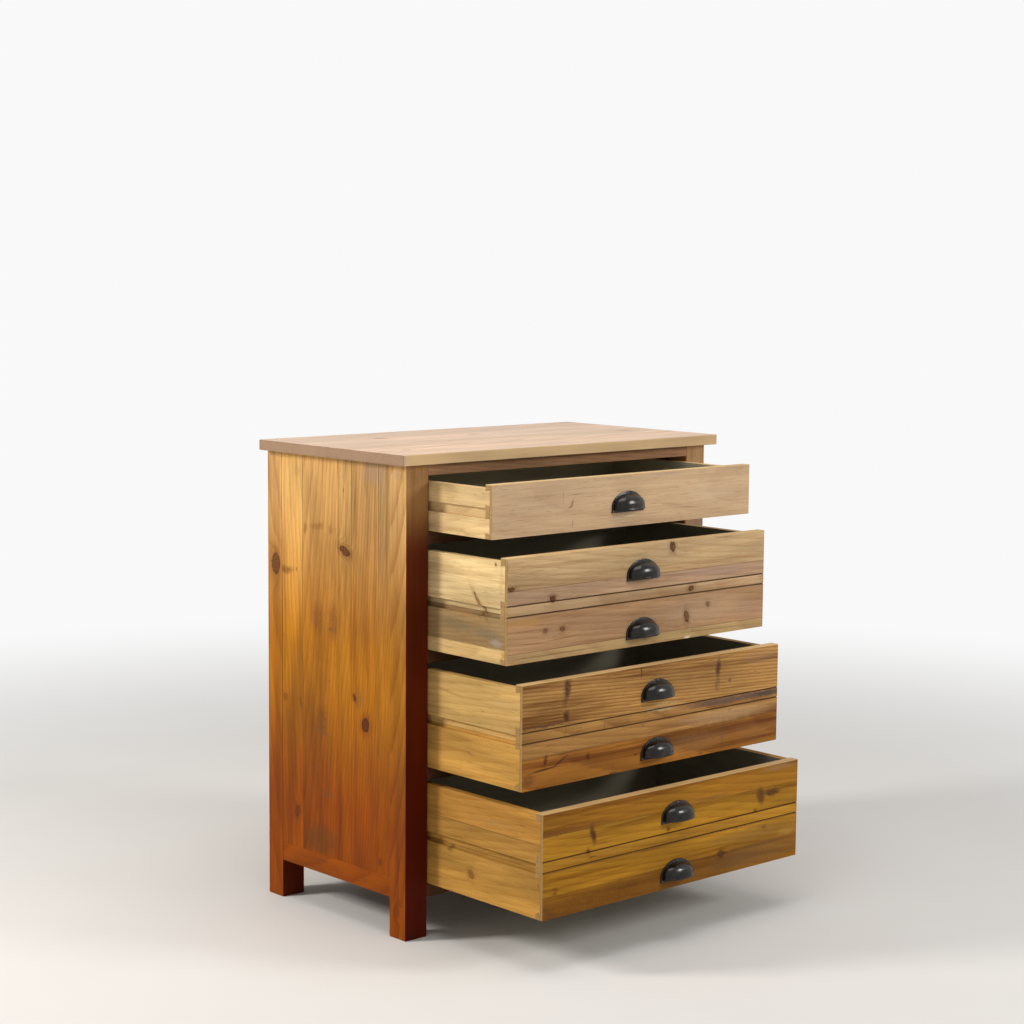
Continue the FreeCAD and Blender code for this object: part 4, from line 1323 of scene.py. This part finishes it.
class DrawerStack:
    """The four drawers with the looks that each has in the photograph."""

    kerfs: Pair = mm(85.25, 104.75)
    kerf_half: float = mm(1.5)
    lining_start: float = mm(17.6)
    side_lining: float = mm(15.6)
    front_lap: float = mm(6.5)
    wear: float = mm(1.1)
    one_pull: dict[str, float] = {"pull": mm(27)}
    two_pulls: dict[str, float] = {"upper_pull": mm(123), "lower_pull": mm(13.5)}

    def front(self, place: Place, light: Colour, dark: Colour, boards: Sequence[Board],
              knots: Sequence[Knot], marks: Sequence[Mark], **other: Any) -> Pine:
        """The finish of one front, worn along its upper edge, lined behind.

        A deep front has two kerf grooves, darkened along them with painted shade.

        Args:
            place: where the front is.
            light: colour of the early wood.
            dark: colour of the late wood.
            boards: its boards, from the lower edge up.
            knots: its knots.
            marks: its marks.
            other: more fields of Pine.

        Returns:
            The finish.
        """
        levels = () if place.name == "top" else self.kerfs
        # painted shade along the two kerf grooves
        kerfs = [Mark(0.0, place.base + level, 2 * FAR, self.kerf_half, 0, 0.85,
                      (0.05, 0.025, 0.010), 0.0) for level in levels]
        paints = (lined(1, place.face + self.lining_start, FAR),
                  Paint(2, place.top - self.wear, FAR, (0.66, 0.44, 0.20), 0.7))
        return Pine(f"{place.name}_front", Grain.ALONG_X, light, dark, tuple(boards),
                    tuple(knots), (*marks, *kerfs), paints, start=place.base,
                    end_colour=(0.36, 0.215, 0.075), lap=place.face + self.front_lap, **other)

    def side(self, place: Place, hand: str, boards: Sequence[Board],
             knots: Sequence[Knot] = (), marks: Sequence[Mark] = (), **other: Any) -> Pine:
        """The finish of one drawer side: raw outside, lined inside.

        Args:
            place: where the drawer's front is.
            hand: left or right.
            boards: its boards, from the lower edge up.
            knots: its knots.
            marks: its marks.
            other: more fields of Pine.

        Returns:
            The finish.
        """
        inner = place.left + self.side_lining
        lining = lined(0, inner, FAR) if hand == "left" else lined(0, -FAR, -inner)
        return Pine(f"{place.name}_{hand}_raw", Grain.ALONG_Y, RAW, RAW_DARK, tuple(boards),
                    tuple(knots), tuple(marks), (lining,), skin=Skin.RAW, start=place.base,
                    end_colour=(0.40, 0.25, 0.10), knot_colour=(0.16, 0.07, 0.03),
                    seams=0.5, **other)

    def top(self) -> Drawer:
        """The shallow top drawer: a calm, rubbed front with a few scratches."""
        drawer = Place.of("top")
        spot, place = drawer.front(), drawer.side()
        scratch = (0.22, 0.13, 0.08)
        marks = [
            spot.mark(194, 53, 2.4, 11, -28, 0.8, scratch, 0.3),
            spot.mark(190, 46, 7, 1.8, 20, 0.75, scratch, 0.2),
            spot.mark(195, 15, 1.6, 10, 0, 0.75, scratch, 0.2),
            spot.mark(172, 66, 1.2, 15, 0, 0.5, scratch, 0.2),
            spot.mark(205, 68, 18, 1.4, 0, 0.5, scratch, 0.2),
            spot.mark(50, 42, 9, 2.5, -10, 0.35, (0.3, 0.2, 0.15), 0.3),
            spot.mark(500, 25, 30, 1.6, -4, 0.65, (0.28, 0.17, 0.10), 0.2),
            spot.mark(460, 33, 26, 2.0, -6, 0.45, (0.30, 0.19, 0.12), 0.2),
            spot.mark(440, 93, 50, 4, 0, 0.4, (0.33, 0.23, 0.18), 0.3),
            spot.mark(335, 16, 38, 13, 0, 0.25, (0.5, 0.40, 0.25), 0.1),
            spot.mark(345, 19, 20, 1.6, 0, 0.5, (0.72, 0.58, 0.38), 0.1),
            spot.mark(566, 50, 70, 26, 0, 0.25, (0.56, 0.42, 0.28), 0.2),
        ]
        boards = [spot.board(100, (1.0, 1.0, 1.0), (0.02, 0.10), 0.006, 0.34)]
        front = self.front(drawer, (0.565, 0.385, 0.225), (0.44, 0.265, 0.14),
                           boards, [], marks, skin=Skin.WORN, blotch=0.16, wander=0.4,
                           streaks=0.16)
        sides = [spot.board(100, (1.0, 1.0, 1.0), (0.02, 0.05), 0.003, 0.35)]
        left_marks = [
            place.mark(22, 80, 1.2, 1.2, 0, 0.8, (0.1, 0.05, 0.02), 0.0),
            place.mark(75, 6, 30, 3, 6, 0.4, (0.35, 0.18, 0.06)),
        ]
        return Drawer(drawer, front, self.side(drawer, "left", sides, marks=left_marks),
                      self.side(drawer, "right", sides, seed=2.0), self.one_pull)

    def second(self) -> Drawer:
        """The second drawer: honey above, a greyer band over the kerfs, a pale foot."""
        drawer = Place.of("second")
        spot, place = drawer.front(), drawer.side()
        knots = [
            spot.knot(416, 178, 6, 10, 8, 0.95),
            spot.knot(109, 109, 7, 6, 0, 1.0),
            spot.knot(9, 135, 9, 3, 0, 0.95, 0.5),
            spot.knot(467, 95, 8, 5, 12, 0.95, 0.7),
            spot.knot(456, 42, 6, 12, 10, 0.85),
            spot.knot(134, 52, 6, 5, 10, 0.7),
            spot.knot(91, 53, 6, 4, 0, 0.6),
            spot.knot(515, 60, 5, 6, 0, 0.55),
        ]
        crack = (0.16, 0.07, 0.03)
        marks = [
            spot.mark(140, 36, 45, 1.3, 3, 0.6, crack, 0.2),
            spot.mark(60, 33, 34, 1.2, -3, 0.5, crack, 0.2),
            spot.mark(120, 9, 140, 1.6, 0, 0.55, crack, 0.3),
            spot.mark(545, 10, 120, 1.6, -1, 0.5, crack, 0.3),
            spot.mark(540, 122, 130, 9, -1, 0.4, (0.30, 0.20, 0.17), 0.4),
            spot.mark(40, 72, 60, 9, 0, 0.5, (0.42, 0.22, 0.05), 0.3),
            spot.mark(570, 60, 40, 16, 0, 0.35, (0.45, 0.24, 0.09), 0.3),
            spot.mark(400, 172, 30, 16, 0, 0.25, (0.42, 0.29, 0.18), 0.2),
            spot.mark(500, 54, 150, 30, 0, 0.35, (0.54, 0.38, 0.24), 0.2),
            spot.mark(630, 35, 40, 22, 0, 0.3, (0.30, 0.19, 0.15), 0.3),
            spot.mark(460, 3, 9, 3, 0, 0.9, (0.75, 0.62, 0.45), 0.1),
            # painted shade of the gap at the chipped left end, with its darker torn wood
            spot.mark(0, 160, 2.2, 28, 0, 0.75, (0.14, 0.07, 0.025), 0.5),
            spot.mark(0, 60, 1.4, 40, 0, 0.5, (0.14, 0.07, 0.025), 0.6),
        ]
        boards = [
            spot.board(18.5, (1.0, 1.03, 0.9), (0.02, 0.05), 0.004, 0.45),
            spot.board(84, (0.93, 0.84, 0.83), (0.12, 0.012), 0.005, 0.5),
            spot.board(104, (1.12, 1.14, 1.20), (0.01, 0.05), 0.004, 0.45),
            spot.board(131, (1.05, 1.04, 1.22), (0.11, 0.03), 0.004, 0.5),
            spot.board(191, (1.16, 1.22, 1.22), (0.11, 0.02), 0.0045, 0.5),
        ]
        front = self.front(drawer, (0.475, 0.305, 0.155), (0.31, 0.165, 0.070),
                           boards, knots, marks, skin=Skin.WORN, blotch=0.24, streaks=0.45)
        side_knots = [
            place.knot(75, 103, 24, 3.4, 52, 0.75, 0.5),
            place.knot(72, 83, 4, 4, 0, 0.6, 0.6),
            place.knot(31, 176, 2.4, 2.4, 0, 0.95, 0.0),
        ]
        grey = (0.15, 0.125, 0.075)
        side_marks = [
            place.mark(50, 50, 45, 13, 4, 0.6, grey, 0.5),
            place.mark(140, 58, 50, 12, 4, 0.55, grey, 0.5),
            place.mark(30, 36, 20, 7, 0, 0.5, (0.34, 0.32, 0.28), 0.4),
            place.mark(100, 77, 60, 3, 8, 0.5, (0.38, 0.19, 0.06), 0.4),
            place.mark(100, 30, 90, 1.4, 5, 0.6, (0.25, 0.12, 0.04), 0.3),
            place.mark(10, 18, 7, 7, 0, 0.6, (0.36, 0.19, 0.04), 0.3),
            place.mark(16, 150, 6, 28, 0, 0.4, (0.45, 0.30, 0.10), 0.6),
        ]
        sides = [
            spot.board(26, (0.96, 0.92, 0.8), (0.02, 0.05), 0.004, 0.4),
            spot.board(88, (0.44, 0.36, 0.24), (0.12, 0.02), 0.003, 0.7, 0.25),
            spot.board(190, (1.06, 1.10, 1.12), (0.12, 0.05), 0.004, 0.4),
        ]
        return Drawer(drawer, front,
                      self.side(drawer, "left", sides, side_knots, side_marks),
                      self.side(drawer, "right", sides, seed=5.0), self.two_pulls)

    def third(self) -> Drawer:
        """The third drawer: a strongly figured upper board, a redder one below."""
        drawer = Place.of("third")
        spot, place = drawer.front(), drawer.side()
        knots = [
            spot.knot(455, 5, 6, 3, 0, 0.3, 0.4),
            spot.knot(160, 42, 3.5, 4, 0, 0.7, 0.5),
            spot.knot(56, 50, 3, 8, -12, 0.7, 0.4),
            spot.knot(282, 28, 2, 1.6, 0, 0.8, 0.2),
        ]
        dark = (0.06, 0.024, 0.012)
        marks = [
            spot.mark(108, 172, 10, 24, -6, 1.0, (0.075, 0.030, 0.018), 0.35),
            spot.mark(106, 122, 9, 11, 0, 1.0, (0.07, 0.028, 0.012), 0.3),
            spot.mark(102, 148, 8, 12, 0, 0.4, dark, 0.6),
            spot.mark(502, 162, 8, 20, -5, 1.0, (0.075, 0.030, 0.015), 0.35),
            spot.mark(500, 132, 8, 14, 0, 0.5, dark, 0.6),
            spot.mark(295, 180, 2.0, 12, 0, 0.9, dark, 0.2),
            spot.mark(535, 134, 5.5, 4, 0, 0.9, (0.09, 0.05, 0.03), 0.1),
            spot.mark(537, 130, 3, 8, 0, 0.7, (0.30, 0.18, 0.10), 0.1),
            spot.mark(345, 104, 48, 4.2, -2, 0.75, (0.52, 0.40, 0.22), 0.5),
            spot.mark(365, 112, 46, 4, -3, 0.5, (0.56, 0.38, 0.16), 0.5),
            spot.mark(540, 98, 150, 8, 0, 0.95, (0.115, 0.068, 0.045), 0.15),
            spot.mark(645, 98, 50, 7.5, 0, 0.8, (0.045, 0.036, 0.032), 0.15),
            spot.mark(50, 33, 40, 2.0, 4, 1.0, dark, 0.15),
            spot.mark(92, 43, 22, 2.0, 27, 1.0, dark, 0.1),
            spot.mark(14, 18, 18, 12, 0, 0.6, (0.11, 0.045, 0.018), 0.5),
            spot.mark(60, 112, 66, 3.4, 0, 0.8, (0.12, 0.05, 0.025), 0.3),
            spot.mark(60, 138, 60, 7, 0, 0.5, (0.17, 0.07, 0.02), 0.5),
            spot.mark(100, 57, 105, 1.2, 2, 0.6, (0.16, 0.07, 0.03), 0.3),
            spot.mark(517, 35, 5, 34, -4, 0.6, (0.13, 0.05, 0.025), 0.5),
            spot.mark(535, 77, 7, 3, 0, 0.7, dark, 0.2),
            spot.mark(600, 30, 80, 16, -2, 0.3, (0.30, 0.13, 0.05), 0.3),
            spot.mark(430, 28, 110, 20, 0, 0.3, (0.42, 0.22, 0.09), 0.3),
            spot.mark(525, 70, 150, 14, 0, 0.55, (0.50, 0.32, 0.15), 0.2),
            spot.mark(620, 172, 50, 16, 0, 0.35, (0.26, 0.15, 0.09), 0.5),
            spot.mark(200, 92, 1.2, 11, -20, 0.5, dark, 0.2),
            spot.mark(106, 98, 1.2, 12, -15, 0.45, dark, 0.2),
            spot.mark(262, 92, 3, 1.2, 0, 0.6, dark, 0.2),
            spot.mark(300, 78, 3, 2.4, 0, 0.6, dark, 0.2),
            spot.mark(225, 2, 14, 2, 0, 0.7, dark, 0.3),
        ]
        boards = [
            spot.board(56, (0.86, 0.68, 0.40), (0.03, 0.014), 0.0075, 0.5),
            spot.board(84, (1.0, 1.0, 1.12), (0.11, 0.05), 0.004, 0.4),
            spot.board(105, (1.0, 1.0, 1.1), (0.03, 0.05), 0.004, 0.5),
            spot.board(191, (1.12, 1.18, 1.35), (0.26, 0.02), 0.0040, 0.8),
        ]
        front = self.front(drawer, (0.44, 0.22, 0.055), (0.15, 0.050, 0.012),
                           boards, knots, marks, skin=Skin.WAXED, blotch=0.3, wander=0.1,
                           streaks=0.85, streak_tint=(0.38, 0.24, 0.16))
        side_marks = [
            place.mark(140, 46, 12, 3, 5, 0.7, (0.24, 0.12, 0.05), 0.3),
            place.mark(138, 55, 16, 1.6, 5, 0.5, (0.24, 0.12, 0.05), 0.3),
            place.mark(140, 30, 10, 2, 5, 0.45, (0.24, 0.12, 0.05), 0.3),
            place.mark(200, 150, 45, 2.6, 6, 0.5, (0.30, 0.15, 0.05), 0.4),
            place.mark(105, 128, 2, 1.4, 0, 0.8, (0.12, 0.06, 0.02), 0.0),
            place.mark(50, 150, 30, 6, 5, 0.3, (0.45, 0.30, 0.14), 0.4),
            place.mark(8, 105, 3, 10, 0, 0.8, (0.10, 0.04, 0.015), 0.4),
            place.mark(8, 10, 5, 9, 0, 0.6, (0.25, 0.12, 0.03), 0.5),
            place.mark(80, 60, 6, 24, 10, 0.25, (0.38, 0.22, 0.09), 0.3),
        ]
        sides = [
            spot.board(86, (0.76, 0.59, 0.29), (0.12, 0.03), 0.005, 0.45),
            spot.board(190, (0.83, 0.74, 0.52), (0.13, 0.03), 0.004, 0.5),
        ]
        return Drawer(drawer, front,
                      self.side(drawer, "left", sides, marks=side_marks, seed=1.3),
                      self.side(drawer, "right", sides, seed=7.0), self.two_pulls)

    def bottom(self) -> Drawer:
        """The bottom drawer: golden boards between darker ones."""
        drawer = Place.of("bottom")
        spot, place = drawer.front(), drawer.side()
        knots = [
            spot.knot(109, 106, 4, 4, 0, 0.85, 0.6),
            spot.knot(314, 112, 4, 3.4, 0, 0.7, 0.5),
            spot.knot(552, 107, 4, 3, 0, 0.7, 0.5),
            spot.knot(458, 40, 9, 7, 0, 0.7),
            spot.knot(30, 48, 5, 6, 0, 0.35),
            spot.knot(578, 72, 5, 3, 0, 0.4),
            spot.knot(120, 93, 8, 1.6, 0, 0.5, 0.3),
        ]
        streak = (0.17, 0.075, 0.022)
        marks = [
            spot.mark(121, 134, 8, 20, 14, 1.0, (0.085, 0.030, 0.006), 0.2),
            spot.mark(567, 134, 12, 20, 8, 0.95, (0.10, 0.038, 0.008), 0.25),
            spot.mark(598, 137, 26, 8, 0, 1.0, (0.085, 0.032, 0.008), 0.25),
            spot.mark(60, 152, 110, 5, 0, 0.5, (0.17, 0.07, 0.015), 0.4),
            spot.mark(430, 152, 60, 5, 0, 0.4, streak, 0.4),
            spot.mark(250, 32, 260, 9, 2, 0.5, (0.13, 0.05, 0.008), 0.3),
            spot.mark(210, 24, 30, 7, 4, 0.5, (0.12, 0.05, 0.014), 0.4),
            spot.mark(470, 14, 50, 7, 0, 0.6, (0.10, 0.045, 0.014), 0.4),
            spot.mark(110, 8, 210, 26, 3, 0.75, (0.13, 0.045, 0.004), 0.3),
            spot.mark(360, 10, 150, 22, 2, 0.65, (0.14, 0.055, 0.008), 0.3),
            spot.mark(560, 24, 150, 24, 1, 0.65, (0.17, 0.085, 0.025), 0.3),
            spot.mark(540, 66, 130, 14, -1, 0.45, (0.19, 0.10, 0.03), 0.4),
            spot.mark(16, 10, 24, 10, -30, 0.5, (0.10, 0.04, 0.01), 0.4),
            spot.mark(620, 183, 50, 6, 0, 0.4, (0.30, 0.19, 0.12), 0.4),
            spot.mark(640, 52, 26, 8, 0, 0.4, (0.42, 0.24, 0.06), 0.3),
        ]
        boards = [
            spot.board(40, (0.80, 0.70, 0.62), (0.13, 0.012), 0.006, 0.5),
            spot.board(83, (1.16, 1.16, 1.1), (0.15, 0.04), 0.004, 0.45),
            spot.board(104, (1.12, 1.14, 1.5), (0.12, 0.05), 0.004, 0.4),
            spot.board(148, (1.20, 1.22, 1.3), (0.13, 0.07), 0.004, 0.45),
            spot.board(191, (1.04, 0.96, 1.1), (0.14, 0.02), 0.005, 0.5),
        ]
        front = self.front(drawer, (0.375, 0.175, 0.012), (0.19, 0.065, 0.004),
                           boards, knots, marks, skin=Skin.WAXED, blotch=0.28, streaks=0.75)
        side_knots = [
            place.knot(190, 43, 9, 7, 60, 0.6),
            place.knot(250, 80, 5, 4, 0, 0.55),
        ]
        side_marks = [
            place.mark(180, 133, 150, 1.4, 0, 0.5, (0.25, 0.12, 0.03), 0.2),
            place.mark(120, 150, 60, 5, 0, 0.35, (0.38, 0.22, 0.08), 0.4),
            place.mark(10, 60, 2, 6, 0, 0.6, (0.10, 0.04, 0.015), 0.3),
            place.mark(10, 8, 3, 5, 0, 0.7, (0.10, 0.04, 0.015), 0.3),
        ]
        sides = [
            spot.board(86, (0.69, 0.52, 0.235), (0.10, 0.03), 0.005, 0.45),
            spot.board(134, (0.67, 0.50, 0.235), (0.13, 0.12), 0.0035, 0.6),
            spot.board(190, (0.64, 0.455, 0.20), (0.12, 0.03), 0.004, 0.5),
        ]
        return Drawer(drawer, front,
                      self.side(drawer, "left", sides, side_knots, side_marks, seed=2.9),
                      self.side(drawer, "right", sides, seed=9.0), self.two_pulls)

    def build(self, frame: dict[str, Any]) -> None:
        """Makes the two metals once and builds the four drawers.
        """
        bronze = Bronze("dark_bronze", (0.006, 0.005, 0.004), (0.018, 0.013, 0.010)).material()
        steel = Bronze("dull_steel", (0.05, 0.045, 0.04), (0.11, 0.10, 0.09), 0.38).material()
        for drawer in (self.top(), self.second(), self.third(), self.bottom()):
            drawer.build(frame, bronze, steel)


# The studio


@dataclass(frozen=True)
class Lamp:
    """One soft lamp: where it stands, where it looks, its size and power."""

    name: str
    place: tuple[float, float, float]
    aim: tuple[float, float, float]
    size: tuple[float, float]
    watts: float
    colour: Colour = (1.0, 1.0, 1.0)

    def build(self) -> None:
        """Adds the lamp to the scene."""
        data = bpy.data.lights.new(self.name, "AREA")
        data.shape = "RECTANGLE"
        data.size, data.size_y = self.size
        data.energy = self.watts
        data.color = self.colour
        lamp = bpy.data.objects.new(self.name, data)
        bpy.context.scene.collection.objects.link(lamp)
        direction = Vector(self.aim) - Vector(self.place)
        lamp.rotation_euler = direction.to_track_quat("-Z", "Y").to_euler()
        lamp.location = self.place


@dataclass
class Studio:
    """Camera, floor, world and lamps."""

    lens: float = 76.71
    sensor: float = 36.0
    eye: tuple[float, float, float] = (-2.86025, -3.06708, 1.23918)
    yaw: float = -42.05
    pitch: float = -6.467
    roll: float = 0.471
    rings: tuple[float, ...] = (0.0001, 1.0, 3.0, 8.0, 20.0, 60.0)
    sides: int = 64
    floor_level: float = mm(-0.2)
    haze: Pair = (0.95, 3.6)
    ambient: float = 0.34
    white: float = 0.95
    lamps: tuple[Lamp, ...] = (
        Lamp("window", (-2.75, 1.42, 2.05), (-0.2, 0.0, 0.7), (0.6, 0.9), 81.0, (1.0, 0.97, 0.93)),
        Lamp("front_softbox", (2.2, -3.3, 2.2), (0.0, 0.0, 0.7), (1.0, 1.2), 82.0),
        Lamp("overhead", (-0.3, -0.5, 2.9), (0.0, 0.0, 0.6), (2.0, 1.6), 33.0),
    )

    def camera(self) -> None:
        """Places the camera from its yaw, pitch and roll in degrees."""
        yaw, pitch, roll = (math.radians(angle) for angle in (self.yaw, self.pitch, self.roll))
        ahead = Vector((-math.sin(yaw) * math.cos(pitch), math.cos(yaw) * math.cos(pitch),
                        math.sin(pitch)))
        right = Vector((math.cos(yaw), math.sin(yaw), 0.0))
        up = right.cross(ahead)
        level = math.cos(roll) * right + math.sin(roll) * up
        upright = -math.sin(roll) * right + math.cos(roll) * up
        data = bpy.data.cameras.new("camera")
        data.lens = self.lens
        data.sensor_width = self.sensor
        camera = bpy.data.objects.new("camera", data)
        bpy.context.scene.collection.objects.link(camera)
        turn = Matrix((level, upright, -ahead)).transposed()
        camera.matrix_world = Matrix.Translation(self.eye) @ turn.to_4x4()
        bpy.context.scene.camera = camera

    def floor(self) -> None:
        """A wide, pale, matt floor: a disc of rings that turns white far away.

        Each point is a ring's radius times the cosine and the sine of its angle.
        """
        radius = np.array(self.rings)[:, None]
        angle = np.linspace(0.0, 2 * math.pi, self.sides, endpoint=False)[None, :]
        points = np.stack([radius * np.cos(angle), radius * np.sin(angle),
                           self.floor_level + 0.0 * radius * angle], -1).reshape(-1, 3)
        faces = Fabric.grid_faces(len(self.rings), self.sides, wrap=True)
        floor = Fabric.solid("floor", points, list(faces))
        if floor.data.polygons[0].normal.z < 0:
            floor.data.flip_normals()
        bench = Bench("pale_floor")
        patch = bench.noise(bench.place, 3.0, 3.0, 0.5)
        tone = bench.mix(patch, (0.66, 0.64, 0.61), (0.70, 0.68, 0.65))
        away = bench.node("VectorMath", {"operation": "LENGTH"}, bench.place, out="Value")
        bench.finish(Base_Color=tone, Roughness=0.85)
        glow = bench.node("Emission", None, (self.white,) * 3, 1.0)
        plain = Value(bench, bench.shader.outputs[0])
        surface = bench.node("MixShader", None, away.fade(*self.haze), plain, glow)
        bench.feed(bench.tree.nodes["Material Output"].inputs[0], surface)
        paint_piece(floor, bench.material)

    def world(self) -> None:
        """Even light all round; the camera and reflections see white."""
        world = bpy.data.worlds.new("studio")
        world.use_nodes = True
        tree = world.node_tree
        background = tree.nodes["Background"]
        background.inputs["Color"].default_value = (1.0, 1.0, 1.0, 1.0)
        path = tree.nodes.new("ShaderNodeLightPath")
        seen = path.outputs["Is Camera Ray"]
        for ray in ("Is Glossy Ray", "Is Transmission Ray"):
            larger = tree.nodes.new("ShaderNodeMath")
            larger.operation = "MAXIMUM"
            tree.links.new(seen, larger.inputs[0])
            tree.links.new(path.outputs[ray], larger.inputs[1])
            seen = larger.outputs[0]
        level = tree.nodes.new("ShaderNodeMapRange")
        level.inputs["To Min"].default_value = self.ambient
        level.inputs["To Max"].default_value = self.white
        tree.links.new(seen, level.inputs["Value"])
        tree.links.new(level.outputs[0], background.inputs["Strength"])
        bpy.context.scene.world = world

    def build(self) -> None:
        """Sets up the whole studio."""
        scene = bpy.context.scene
        scene.view_settings.view_transform = "Standard"
        self.camera()
        self.floor()
        self.world()
        for lamp in self.lamps:
            lamp.build()


def main() -> None:
    """Builds the chest's looks, then the studio."""
    logging.basicConfig(level=logging.INFO, format="%(name)s: %(message)s")
    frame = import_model()
    Carcass().dress(frame)
    DrawerStack().build(frame)
    Studio().build()
    bpy.context.view_layer.update()


if __name__ == "__main__":
    main()
